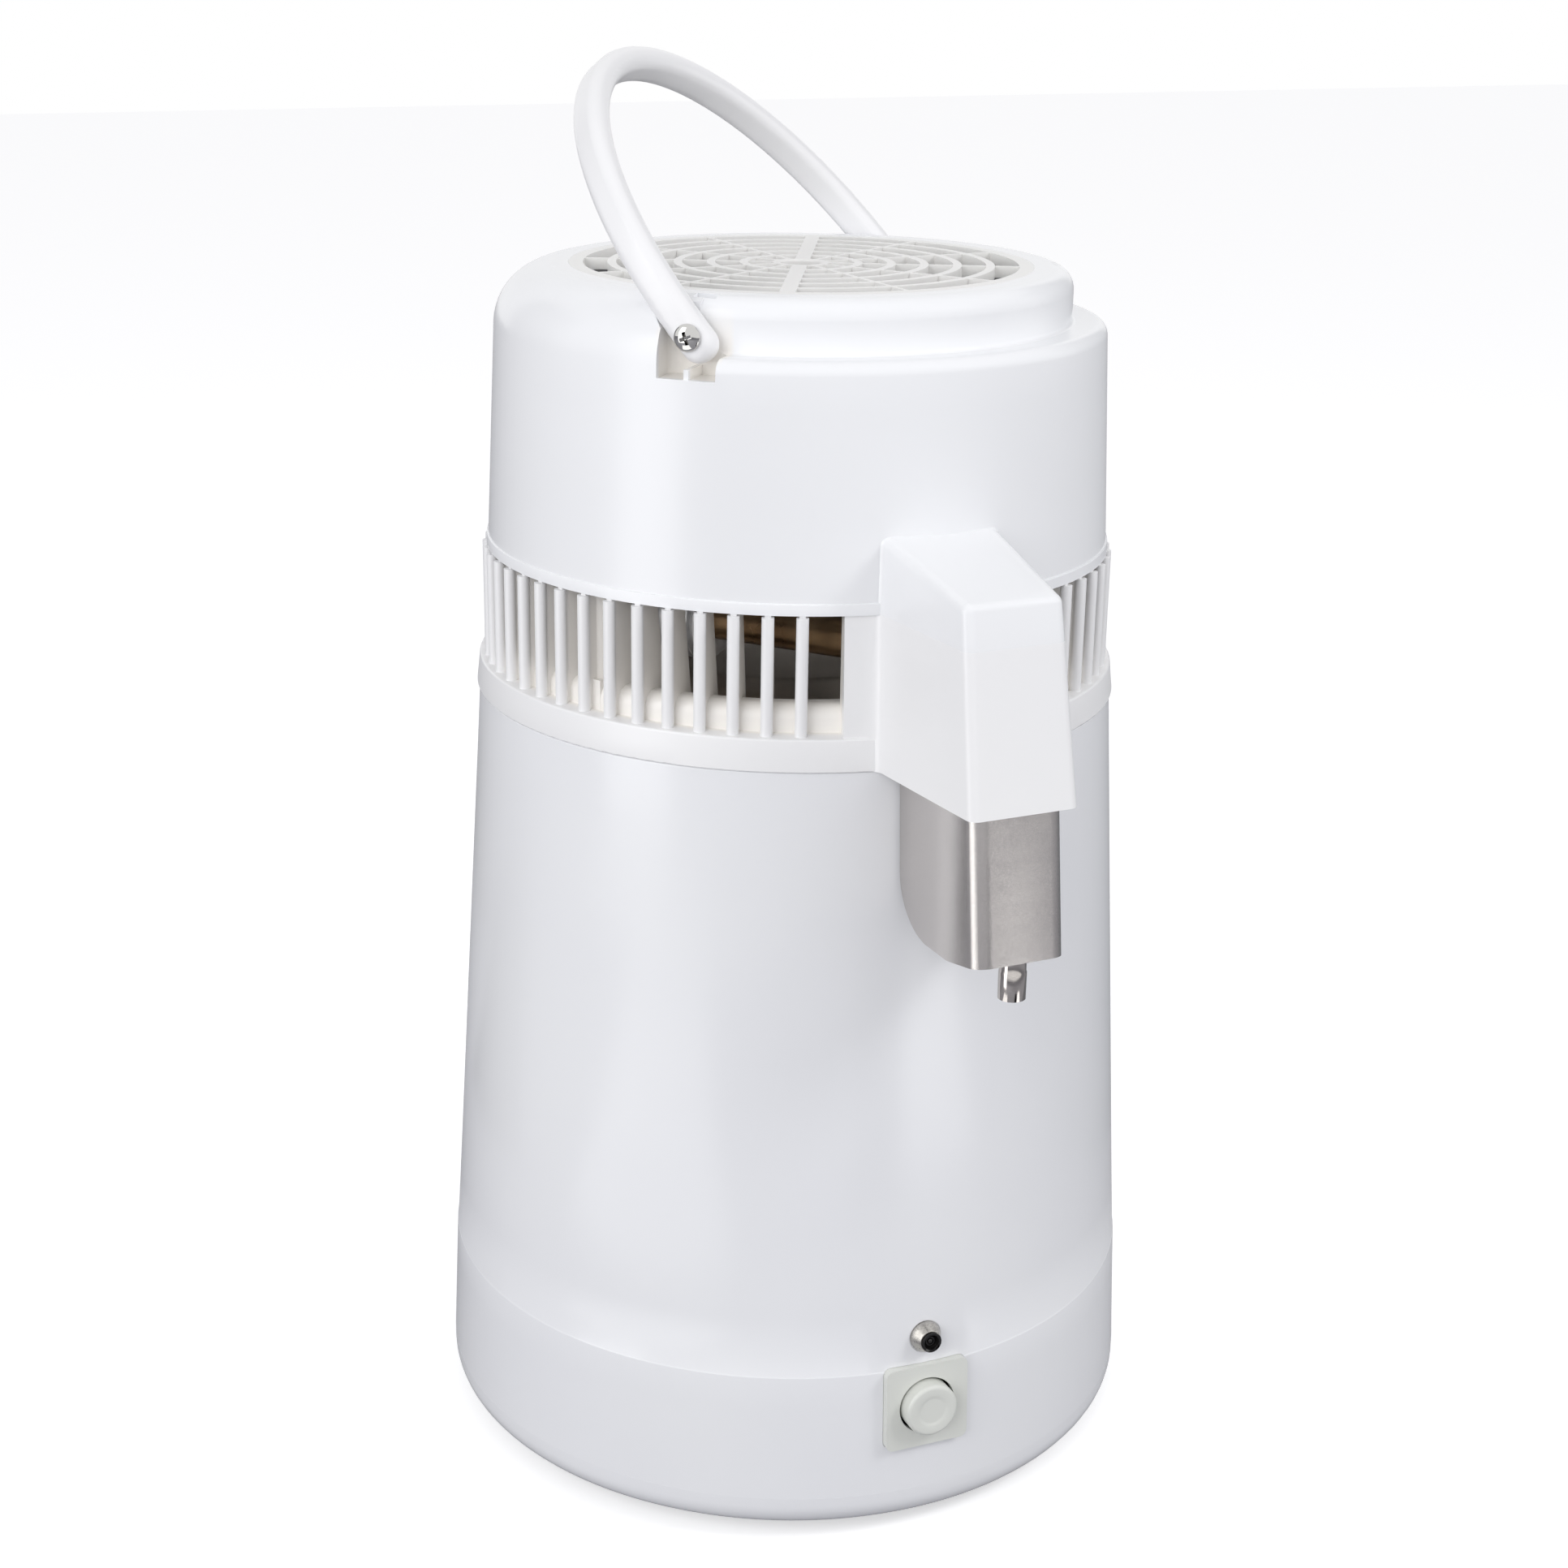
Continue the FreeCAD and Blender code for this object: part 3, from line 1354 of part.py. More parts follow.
def coil_corners():
    """Where the condenser pipe's stretches start and end."""
    radius, drop, bottom = read("coil_radius"), read("coil_drop"), coil_height.value
    heading = read("coil_heading")
    exit_azimuth = heading - 90
    along = around(1, exit_azimuth + 90, 0)
    leave = around(radius, exit_azimuth, bottom)
    bend, elbow = read("coil_bend"), read("riser_elbow")
    shift = bend * (1 - math.cos(math.radians(heading)))
    straight = (-leave.x - shift) / along.x
    bend_start = leave + along * straight
    middle_heading = around(1, exit_azimuth + 90 - heading / 2, 0)
    chord = 2 * bend * math.sin(math.radians(heading / 2))
    bend_middle = bend_start + around(2 * bend * math.sin(math.radians(heading / 4)),
                                      exit_azimuth + 90 - heading / 4 + 0, 0)
    bend_end = bend_start + middle_heading * chord
    arc = read("riser_arc")
    top = bottom + 3 * drop
    enter_azimuth = exit_azimuth - 540
    centre = around(radius - arc, enter_azimuth, top)
    quarter = centre + around(arc, enter_azimuth - 90, 0)
    riser_way = around(1, enter_azimuth, 0)
    riser = quarter - riser_way * elbow
    return {
        "exit_azimuth": exit_azimuth, "along": along, "leave": leave, "bend_start": bend_start,
        "bend_middle": bend_middle, "bend_end": bend_end, "centre": centre, "quarter": quarter,
        "riser": riser, "riser_way": riser_way, "top": top, "enter_azimuth": enter_azimuth,
    }


def arc_through(start, middle, end):
    return Part.Arc(start, middle, end).toShape()


def straight_run(start, end):
    return Part.LineSegment(start, end).toShape()


def coil_path():
    """Edges of the pipe's centre line, from the dome up, round the coil and down over the cup."""
    spots = coil_corners()
    half = math.sqrt(0.5)
    upward = FreeCAD.Vector(0, 0, 1)
    elbow = read("riser_elbow")
    riser, quarter = spots["riser"], spots["quarter"]
    riser_foot = FreeCAD.Vector(riser.x, riser.y, dome_top.value - 4)
    riser_head = riser - upward * elbow
    knee = riser_head + spots["riser_way"] * (elbow * (1 - half)) + upward * (elbow * half)
    edges = [straight_run(riser_foot, riser_head), arc_through(riser_head, knee, quarter)]
    radius, arc, drop = read("coil_radius"), read("riser_arc"), read("coil_drop")
    enter = spots["enter_azimuth"]
    middle = spots["centre"] + around(arc, enter - 45, 0)
    first = around(radius, enter, spots["top"])
    edges.append(arc_through(quarter, middle, first))
    turns = []
    for index in range(3):
        azimuth = enter + 180 * index
        height = spots["top"] - drop * index
        reach = math.sqrt(radius * radius + drop * drop / 4)
        start = around(radius, azimuth, height)
        end = around(radius, azimuth + 180, height - drop)
        turns.append(arc_through(start, around(reach, azimuth + 90, height - drop / 2), end))
    edges += turns
    run = straight_run(spots["leave"], spots["bend_start"])
    edges.append(run)
    edges.append(arc_through(spots["bend_start"], spots["bend_middle"], spots["bend_end"]))
    over_cup = FreeCAD.Vector(0, -drop_reach.value, coil_height.value)
    forward = FreeCAD.Vector(0, -1, 0)
    elbow_start = over_cup - forward * elbow
    elbow_end = over_cup - upward * elbow
    knee = over_cup - forward * (elbow * (1 - half)) - upward * (elbow * (1 - half))
    edges.append(straight_run(spots["bend_end"], elbow_start))
    edges.append(arc_through(elbow_start, knee, elbow_end))
    edges.append(straight_run(elbow_end, FreeCAD.Vector(0, over_cup.y, drop_end.value)))
    return edges, turns, run


def make_condenser_coil():
    """Steel pipe swept along its path and hollowed."""
    edges = coil_path()[0]
    path = Part.Wire(edges)
    start = edges[0].valueAt(edges[0].FirstParameter)
    outer, inner = read("pipe_radius"), read("pipe_radius") - read("pipe_wall")
    solids = []
    for radius in (outer, inner):
        ring = Part.Wire(Part.Circle(start, FreeCAD.Vector(0, 0, 1), radius).toShape())
        solids.append(path.makePipeShell([ring], True, False, 2))
    pipe = doc.addObject("Part::Feature", "condenser_coil")
    pipe.Label = "condenser_coil"
    pipe.Shape = solids[0].cut(solids[1])
    print("coil pipe volume", pipe.Shape.Volume, "section times length",
          math.pi * (outer ** 2 - inner ** 2) * path.Length)
    return pipe


def make_coil_fins():
    """Round fins threaded on the coil at an even pitch, down to the start of the outlet run."""
    turns, run = coil_path()[1:]
    pitch, thickness = read("coil_fin_pitch"), read("coil_fin_thickness")
    outer, inner = read("coil_fin_radius"), read("pipe_radius") + read("fin_collar_gap")
    fins = []
    for edge, stretch in [(turn, turn.Length) for turn in turns] + [(run, read("finned_run"))]:
        count = int(stretch // pitch)
        for index in range(count):
            spot = edge.getParameterByLength((index + 0.5) * stretch / count)
            centre, way = edge.valueAt(spot), edge.tangentAt(spot)
            foot = centre - way * (thickness / 2)
            disc = Part.makeCylinder(outer, thickness, foot, way)
            fins.append(disc.cut(Part.makeCylinder(inner, thickness, foot, way)))
    group = doc.addObject("Part::Feature", "coil_fins")
    group.Label = "coil_fins"
    group.Shape = Part.makeCompound(fins)
    return group


def make_riser_nut():
    """Nut that holds the pipe's foot to the dome."""
    riser = coil_corners()["riser"]
    nut = new_body("riser_nut")
    pad(nut, outline(new_sketch(nut), hexagon(19)), 5)
    pocket(nut, circles(new_sketch(nut), [(0, 0, pipe_radius + fit_gap)]), 5, backwards=True)
    nut.Placement = FreeCAD.Placement(FreeCAD.Vector(riser.x, riser.y, dome_top.value), FreeCAD.Rotation())
    return nut


# ---------------------------------------------------------------- fan

def make_motor_bracket():
    """Pressed plate with three arms that hangs the motor from the cover's columns."""
    bracket = new_body("motor_bracket")
    height, plate = bracket_height, size("bracket_plate")
    disc = pad(bracket, circles(new_sketch(bracket, offset=height), [(0, 0, size("motor_radius") + 3)]), plate)
    half, tip = 5.0, bracket_circle + 4.5
    arm = outline(new_sketch(bracket, offset=height, spin=90), [
        (15, -half - 3), (tip, -half, 3), (tip, half, 3), (15, half + 3),
    ])
    arm_pad = pad(bracket, arm, plate)
    screw = circles(new_sketch(bracket, offset=height, spin=90), [(bracket_circle, 0, 1.7)])
    screw_hole = pocket(bracket, screw, plate, backwards=True)
    repeat(bracket, [arm_pad, screw_hole], 3)
    hub = circles(new_sketch(bracket, offset=height), [(0, 0, size("shaft_radius") + 2.5)])
    bracket.Tip = pocket(bracket, hub, plate, backwards=True)
    return place(bracket, 0, 0, 0, yaw=60)


def make_bracket_screws():
    screw = turned("bracket_screw", [
        (0, bracket_top - 8),
        (1.2, bracket_top - 8),
        (1.2, bracket_top),
        (3, bracket_top),
        (3, bracket_top + 1.6, 0.8),
        (0, bracket_top + 1.6),
    ])
    return screw_group("bracket_screws", screw, bracket_circle, evenly(3))


def make_fan_motor():
    """Round motor can with a bearing bore for the shaft."""
    top, length, radius = bracket_height, size("motor_length"), size("motor_radius")
    bore = size("shaft_radius") + size("running_gap")
    return turned("fan_motor", [
        (0, top - length),
        (radius - 6, top - length, 2),
        (radius - 6, top - length + 4),
        (radius, top - length + 4, 2),
        (radius, top, 2),
        (bore, top),
        (bore, top - length + 8),
        (0, top - length + 8),
    ])


def make_motor_shaft():
    top = bracket_top + size("fan_gap") + size("fan_hub_height") + 2
    foot = bracket_height - size("motor_length") + 8.2
    return turned("motor_shaft", [
        (0, foot), (size("shaft_radius"), foot, 0.4), (size("shaft_radius"), top, 0.4), (0, top),
    ])


def make_fan_blades():
    """Axial impeller: six twisted blades lofted out from a capped hub."""
    bottom = bracket_top + size("fan_gap")
    hub_height, hub = size("fan_hub_height"), size("fan_hub")
    fan = turned("fan_blades", [
        (size("shaft_radius") + fit_gap, bottom),
        (hub, bottom),
        (hub, bottom + hub_height, 2),
        (size("shaft_radius") + fit_gap, bottom + hub_height),
    ])
    middle = bottom + hub_height / 2
    sections = []
    for reach, chord, pitch in ((hub - 2, 15.0, 44), (hub + 22, 29.0, 30), (size("fan_radius"), 37.0, 21)):
        section = new_sketch(fan, "YZ_Plane", offset=reach, spin=pitch)
        shift = "placement(vector(0; %s; %s); rotation(%s; 0; 0))"
        section.setExpression("AttachmentOffset", shift % (middle.text, formula(reach).text, pitch))
        outline(section, rectangle(-chord / 2, chord / 2, -0.8, 0.8))
        sections.append(section)
    loft = fan.newObject("PartDesign::AdditiveLoft", "fan_blade")
    loft.Profile = sections[0]
    loft.Sections = sections[1:]
    repeat(fan, [loft], int(SIZES["fan_blade_count"]))
    return fan


# ---------------------------------------------------------------- handle

def make_carry_handle():
    """Half ring with rounded ends, drawn upright and leaning back at rest."""
    handle = new_body("carry_handle")
    radial, across, corner = size("bar_radial") / 2, size("bar_across") / 2, size("bar_corner")
    tail = size("handle_tail")
    for side in (1, -1):
        offset = handle_arc * side - radial
        end_sketch = outline(new_sketch(handle, "YZ_Plane", offset=offset), [
            (-across, -(tail + across), across - 0.02), (across, -(tail + across), across - 0.02),
            (across, 0), (-across, 0),
        ])
        pad(handle, end_sketch, radial * 2)

    def outer_loop(edge):
        box = edge.BoundBox
        on_side = min(abs(abs(box.XMin) - (handle_arc - radial).value),
                      abs(abs(box.XMin) - (handle_arc + radial).value)) < 0.01
        return on_side and box.XLength < 0.01 and box.ZMin < -0.01

    round_edges(handle, corner, outer_loop)
    section = outline(new_sketch(handle), [
        (handle_arc - radial, -across, corner), (handle_arc + radial, -across, corner),
        (handle_arc + radial, across, corner), (handle_arc - radial, across, corner),
    ])
    arch = handle.newObject("PartDesign::Revolution", "handle_arch")
    arch.Profile = section
    arch.ReferenceAxis = (section, ["V_Axis"])
    arch.Angle = 180
    arch.Reversed = True
    bore = circles(new_sketch(handle, "YZ_Plane"), [(0, 0, size("pivot_screw") + size("running_gap"))])
    pocket(handle, bore, 240, symmetric=True)
    return place(handle, 0, 0, pivot_height, yaw=pivot_azimuth, roll=-size("handle_lean"))


def make_pivot_screws():
    """Shouldered screws on which the handle swings."""
    screws = []
    start = drum_radius - size("pivot_boss") + 2
    outside = handle_arc + size("bar_radial") / 2 + fit_gap
    for index, azimuth in enumerate((pivot_azimuth - 90, pivot_azimuth + 90)):
        screw = turned("pivot_screw%d" % index, [
            (0, start),
            (size("pivot_screw"), start),
            (size("pivot_screw"), outside),
            (size("pivot_screw") + 1.9, outside),
            (size("pivot_screw") + 1.9, outside + 2, 1),
            (0, outside + 2),
        ])
        screws.append(place(screw, 0, 0, pivot_height, yaw=azimuth, roll=90))
    group = doc.addObject("Part::Compound", "pivot_screws")
    group.Label = "pivot_screws"
    group.Links = screws
    return group


# ---------------------------------------------------------------- filter cup

def cup_front(height):
    """Distance from the axis to the cup's front wall at a height."""
    lean = (cup_bottom_reach - cup_top_reach) / (head_seam - cup_bottom)
    return cup_top_reach + lean * (head_seam - height)


def cup_form(label, inset):
    """Outer form of the cup, or its hollow where the inset is the metal's thickness."""
    wall = 0 if inset is None else inset
    top = head_seam + size("cup_neck") + (0 if inset is None else 5)
    neck, heel = head_seam - 0.4 - wall, cup_heel + wall
    gap = size("cup_back_gap") + wall
    form = new_body(label)
    side = outline(new_sketch(form, "YZ_Plane"), [
        (-(cup_neck_back + wall), top),
        (-(cup_neck_back + wall), neck),
        (-(shell_radius(neck) + gap), neck),
        (-(shell_radius(heel) + gap), heel, size("cup_heel_round") - wall),
        (size("cup_toe") - cup_bottom_reach, heel),
        (wall - cup_front(cup_bottom), cup_bottom + wall),
        (wall - cup_front(top), top),
    ])
    pad(form, side, cup_half * 2 - wall * 2, symmetric=True)
    front = -cup_front(cup_bottom).value

    def front_corner(edge):
        box = edge.BoundBox
        return box.ZLength > 30 and box.YMin < front + 8

    round_edges(form, size("cup_corner") - wall, front_corner)
    return form


def make_filter_cup():
    """Steel cup that slides up into the spout and holds the carbon."""
    foot = cup_heel - 10
    hole_length = cup_bottom + size("cup_wall") - foot
    hole = rod("tube_hole", tube_neck + fit_gap, hole_length, 0, -tube_reach, foot)
    return cut("filter_cup", cup_form("cup_outer", None), cup_form("cup_inner", size("cup_wall")), hole)


def make_spout_tube():
    """Short tube brazed into the cup's floor, a shade slimmer from just under the cup."""
    radius, bore = size("tube_radius"), size("tube_radius") - size("tube_wall")
    step, top = tube_bottom + size("tube_grip"), cup_bottom + 1.4
    tube = turned("spout_tube", [
        (bore, tube_bottom), (radius, tube_bottom), (radius, step), (tube_neck, step + 0.4),
        (tube_neck, top), (bore, top),
    ])
    return place(tube, 0, -tube_reach, 0)


def make_carbon_sachet():
    """Soft sachet of carbon that lies in the cup."""
    sachet = new_body("carbon_sachet")
    low, high = cup_heel + size("cup_wall") + 0.3, cup_bottom + 28.2
    front, back = size("sachet_front") - cup_bottom_reach, size("sachet_front") - cup_bottom_reach + 25
    side = outline(new_sketch(sachet, "YZ_Plane"), [
        (front, low, 6), (back, low, 9), (back, high, 9), (front, high, 9),
    ])
    pad(sachet, side, (cup_half - 3.9) * 2, symmetric=True)

    def flank(edge):
        return edge.BoundBox.XLength < 0.01

    round_edges(sachet, 5, flank)
    return sachet


# ---------------------------------------------------------------- build and write

PIECES = (
    make_body_shell, make_base_pan, make_rubber_feet, make_boiling_pot, make_heater_plate,
    make_heater_element, make_thermal_cutouts, make_tie_rods, make_tie_nuts, make_switch_plate,
    make_switch_housing, make_start_button, make_led_bezel, make_led_lens, make_led_nut,
    make_power_inlet, make_inlet_pins, make_head_cover, make_fan_inlet, make_fan_inlet_pins,
    make_top_grille, make_vent_band, make_band_screws, make_steam_gasket, make_condenser_pan,
    make_condenser_coil, make_coil_fins, make_riser_nut, make_motor_bracket, make_bracket_screws,
    make_fan_motor, make_motor_shaft, make_fan_blades, make_carry_handle, make_pivot_screws,
    make_filter_cup, make_spout_tube, make_carbon_sachet,
)

pieces = [make() for make in PIECES]
doc.recompute()
failed = [thing.Label for thing in doc.Objects if {"Invalid", "Error"} & set(thing.State)]
if failed:
    raise RuntimeError("objects failed: " + ", ".join(failed))
inside_out = [thing.Label for thing in doc.Objects
              if hasattr(thing, "Shape") and thing.Shape.Solids and thing.Shape.Volume <= 0]
if inside_out:
    raise RuntimeError("solids turned inside out: " + ", ".join(inside_out))
for piece in pieces:
    if piece.Shape.isNull() or not piece.Shape.isValid() or not piece.Shape.Solids:
        raise RuntimeError("bad shape: " + piece.Label)
os.makedirs("parts", exist_ok=True)
for piece in pieces:
    piece.Shape.exportStep("parts/%s.step" % piece.Label)
    print("%-18s %3d solids %12.1f mm3" % (piece.Label, len(piece.Shape.Solids), piece.Shape.Volume))
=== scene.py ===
"""Countertop water distiller: the finish of its mouldings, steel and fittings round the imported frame."""
import json
import math

import bmesh
import bpy
from mathutils import Matrix, Vector


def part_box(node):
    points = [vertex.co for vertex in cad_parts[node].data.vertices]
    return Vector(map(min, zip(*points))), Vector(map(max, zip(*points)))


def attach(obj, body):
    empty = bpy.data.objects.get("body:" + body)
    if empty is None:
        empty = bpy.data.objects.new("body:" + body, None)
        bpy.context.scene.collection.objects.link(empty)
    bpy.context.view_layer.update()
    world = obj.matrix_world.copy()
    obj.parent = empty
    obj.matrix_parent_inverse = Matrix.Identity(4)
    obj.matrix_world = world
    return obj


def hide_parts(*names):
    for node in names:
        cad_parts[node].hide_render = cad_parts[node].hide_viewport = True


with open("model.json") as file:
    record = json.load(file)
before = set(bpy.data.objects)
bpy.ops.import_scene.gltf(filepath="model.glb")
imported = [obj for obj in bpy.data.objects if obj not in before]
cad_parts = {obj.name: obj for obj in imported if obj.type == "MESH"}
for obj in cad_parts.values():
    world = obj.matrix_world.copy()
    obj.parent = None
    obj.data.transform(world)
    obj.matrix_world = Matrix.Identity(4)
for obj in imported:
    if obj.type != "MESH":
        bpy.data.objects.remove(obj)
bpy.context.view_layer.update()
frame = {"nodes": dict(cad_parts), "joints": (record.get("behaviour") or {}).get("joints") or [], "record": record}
nodes = frame["nodes"]
joints = {joint["name"]: joint for joint in frame["joints"]}
MM = 0.001


# ---------------------------------------------------------------- camera, floor and light

SPOUT_TURN = math.radians(25.5)
CAMERA_DISTANCE = 781.4 * MM
CAMERA_HEIGHT = 478.6 * MM
CAMERA_PITCH = math.radians(18.79)
CAMERA_YAW = math.radians(-1.01)
CAMERA_ROLL = math.radians(0.65)
LENS = 57.89
SHIFT = (0.0216, -0.0033)
SIDE_LIGHT = 1.01
TOP_LIGHT = 0.37
MIDDLE_HEIGHT = 0.2
FLOOR_SIDE = 12.0
FLOOR_GLOW = 0.45
FLOOR_BOUNCE = "#A6A6AA"
BACK_CARD_HEIGHT = 2 * MM
CUP_CARD_HEIGHT = 3 * MM


def set_camera():
    """A slightly long lens, a little above the head and to the left of the spout."""
    data = bpy.data.cameras.new("camera")
    camera = bpy.data.objects.new("camera", data)
    bpy.context.scene.collection.objects.link(camera)
    data.sensor_width = 36.0
    data.lens = LENS
    data.shift_x, data.shift_y = SHIFT
    data.clip_start, data.clip_end = 0.01, 20.0
    ahead = Vector((math.sin(CAMERA_YAW) * math.cos(CAMERA_PITCH),
                    math.cos(CAMERA_YAW) * math.cos(CAMERA_PITCH), -math.sin(CAMERA_PITCH)))
    level = Vector((math.cos(CAMERA_YAW), -math.sin(CAMERA_YAW), 0.0))
    above = level.cross(ahead)
    right = level * math.cos(CAMERA_ROLL) + above * math.sin(CAMERA_ROLL)
    up = above * math.cos(CAMERA_ROLL) - level * math.sin(CAMERA_ROLL)
    turn = Matrix((right, up, -ahead)).transposed().to_4x4()
    seat = Matrix.Translation((0.0, -CAMERA_DISTANCE, CAMERA_HEIGHT)) @ turn
    camera.matrix_world = Matrix.Rotation(-SPOUT_TURN, 4, "Z") @ seat
    bpy.context.scene.camera = camera


def hex_colour(text):
    """Linear colour of an sRGB hex value, opaque."""
    channels = [int(text[index:index + 2], 16) / 255 for index in (1, 3, 5)]
    linear = [c / 12.92 if c <= 0.04045 else ((c + 0.055) / 1.055) ** 2.4 for c in channels]
    return (*linear, 1.0)


def add_node(tree, kind, inputs=None, **settings):
    """Add a node, set its attributes, and give its inputs values or links."""
    node = tree.nodes.new(kind)
    for name, value in settings.items():
        setattr(node, name, value)
    for name, value in (inputs or {}).items():
        if isinstance(value, bpy.types.NodeSocket):
            tree.links.new(value, node.inputs[name])
        else:
            node.inputs[name].default_value = value
    return node


def set_world():
    """Soft light, weaker from above; where it is seen, mirrored or looked through it is plain white."""
    world = bpy.data.worlds.new("studio")
    world.use_nodes = True
    tree = world.node_tree
    tree.nodes.clear()
    path = add_node(tree, "ShaderNodeLightPath")
    seen = path.outputs["Is Camera Ray"]
    for ray in ("Is Glossy Ray", "Is Transmission Ray"):
        either = add_node(tree, "ShaderNodeMath", {0: seen, 1: path.outputs[ray]}, operation="MAXIMUM")
        seen = either.outputs[0]
    place = add_node(tree, "ShaderNodeTexCoord")
    height = add_node(tree, "ShaderNodeSeparateXYZ", {"Vector": place.outputs["Generated"]})
    level = add_node(tree, "ShaderNodeMapRange", {"Value": height.outputs["Z"], "To Min": SIDE_LIGHT,
                                                  "To Max": TOP_LIGHT})
    soft = add_node(tree, "ShaderNodeBackground", {"Color": hex_colour("#FCFCFF"),
                                                   "Strength": level.outputs[0]})
    white = add_node(tree, "ShaderNodeBackground", {"Color": (1, 1, 1, 1), "Strength": 1.0})
    mix = add_node(tree, "ShaderNodeMixShader", {0: seen, 1: soft.outputs[0], 2: white.outputs[0]})
    add_node(tree, "ShaderNodeOutputWorld", {"Surface": mix.outputs[0]})
    bpy.context.scene.world = world


def around(radius, azimuth, height):
    """Point at a radius, an azimuth measured from the spout's side, and a height."""
    angle = math.radians(azimuth)
    return Vector((radius * math.sin(angle), -radius * math.cos(angle), height))


def aimed_at_middle(place):
    """Turn that points an upright panel or a lamp at the middle of the object."""
    return (Vector((0, 0, MIDDLE_HEIGHT)) - place).to_track_quat("-Z", "Y")


def add_softbox(name, azimuth, height, distance, size, strength):
    """A large rectangular lamp that lights the object but isn't mirrored in it."""
    data = bpy.data.lights.new(name, "AREA")
    data.shape = "RECTANGLE"
    data.size, data.size_y = size
    data.energy = strength
    lamp = bpy.data.objects.new(name, data)
    bpy.context.scene.collection.objects.link(lamp)
    lamp.location = around(distance, azimuth, height)
    lamp.rotation_mode = "QUATERNION"
    lamp.rotation_quaternion = aimed_at_middle(lamp.location)
    lamp.visible_glossy = False


def add_card(name, azimuth, height, distance, size, tone, strength=1.0, flat=False):
    """A card that shows only as a reflection: it shapes what steel and gloss mirror and lights nothing."""
    place = around(distance, azimuth, height)
    bpy.ops.mesh.primitive_plane_add(size=1.0, location=place)
    card = bpy.context.object
    card.name = name
    card.scale = (*size, 1.0)
    card.rotation_mode = "QUATERNION"
    if flat:
        card.rotation_quaternion = Matrix.Rotation(math.radians(azimuth), 3, "Z").to_quaternion()
    else:
        card.rotation_quaternion = aimed_at_middle(Vector((place.x, place.y, MIDDLE_HEIGHT)))
    card.visible_camera = card.visible_diffuse = card.visible_shadow = False
    material = bpy.data.materials.new(name)
    material.use_nodes = True
    tree = material.node_tree
    tree.nodes.clear()
    glow = add_node(tree, "ShaderNodeEmission", {"Color": hex_colour(tone), "Strength": strength})
    add_node(tree, "ShaderNodeOutputMaterial", {"Surface": glow.outputs[0]})
    card.data.materials.append(material)


def add_floor():
    """A white floor that shows as white and keeps a faint shadow of the object."""
    bpy.ops.mesh.primitive_plane_add(size=FLOOR_SIDE, location=(0, 0, 0))
    floor = bpy.context.object
    floor.name = "floor"
    material = bpy.data.materials.new("paper_floor")
    material.use_nodes = True
    tree = material.node_tree
    tree.nodes.clear()
    path = add_node(tree, "ShaderNodeLightPath")
    paper = add_node(tree, "ShaderNodeBsdfDiffuse", {"Color": hex_colour("#F2F2F2")})
    bounce = add_node(tree, "ShaderNodeBsdfDiffuse", {"Color": hex_colour(FLOOR_BOUNCE)})
    lit = add_node(tree, "ShaderNodeEmission", {"Color": (1, 1, 1, 1), "Strength": FLOOR_GLOW})
    glow = add_node(tree, "ShaderNodeAddShader", {0: paper.outputs[0], 1: lit.outputs[0]})
    seen = add_node(tree, "ShaderNodeMixShader", {0: path.outputs["Is Camera Ray"], 1: bounce.outputs[0],
                                                  2: glow.outputs[0]})
    add_node(tree, "ShaderNodeOutputMaterial", {"Surface": seen.outputs[0]})
    floor.data.materials.append(material)


# ---------------------------------------------------------------- materials

# Noise lies mostly between these values, so tones and roughness run from end to end over them.
TINT_SPAN = (0.35, 0.65)
SHEEN_SPAN = (0.3, 0.7)

# Grain in features per metre, so that 1000 is a feature of 1 mm. Belt lines are stretched 30 times: at 900
# one is about 1.1 mm long and 0.04 mm wide, too fine to show singly, and only softens what the steel mirrors.
DRIFT_GRAIN = 9.0            # 110 mm, a slow drift of tone
PEEL_GRAIN = 260.0           # 3.8 mm, orange peel
BELT_GRAIN = 900.0           # 1.1 mm
CUP_BELT_GRAIN = 1300.0      # 0.8 mm
STEEL_CLOUD_GRAIN = 60.0     # 17 mm, a cloudy sheen
METAL_GRAIN = 300.0          # 3.3 mm
RUBBER_GRAIN = 1400.0        # 0.7 mm, a fine tooth


def start_material(name):
    """A material with a plain shader, and its tree."""
    material = bpy.data.materials.new(name)
    material.use_nodes = True
    tree = material.node_tree
    tree.nodes.clear()
    shader = add_node(tree, "ShaderNodeBsdfPrincipled")
    add_node(tree, "ShaderNodeOutputMaterial", {"Surface": shader.outputs[0]})
    return material, tree, shader


def object_grain(tree, scale, detail=3.0, stretch=(1, 1, 1)):
    """Noise over the object's own coordinates; scale is in features per metre."""
    place = add_node(tree, "ShaderNodeTexCoord")
    mapping = add_node(tree, "ShaderNodeMapping", {"Vector": place.outputs["Object"], "Scale": stretch})
    return add_node(tree, "ShaderNodeTexNoise", {"Vector": mapping.outputs[0], "Scale": scale,
                                                 "Detail": detail})


def dress(tree, shader, tint, sheen, tones, roughness):
    """Base colour and roughness that wander between two values each; gives back the colour's socket."""
    ramp = add_node(tree, "ShaderNodeValToRGB", {"Fac": tint})
    for element, position, tone in zip(ramp.color_ramp.elements, TINT_SPAN, tones):
        element.position = position
        element.color = hex_colour(tone)
    tree.links.new(ramp.outputs["Color"], shader.inputs["Base Color"])
    spread = add_node(tree, "ShaderNodeMapRange", {"Value": sheen, "From Min": SHEEN_SPAN[0],
                                                   "From Max": SHEEN_SPAN[1], "To Min": roughness[0],
                                                   "To Max": roughness[1]})
    tree.links.new(spread.outputs[0], shader.inputs["Roughness"])
    return ramp.outputs["Color"]


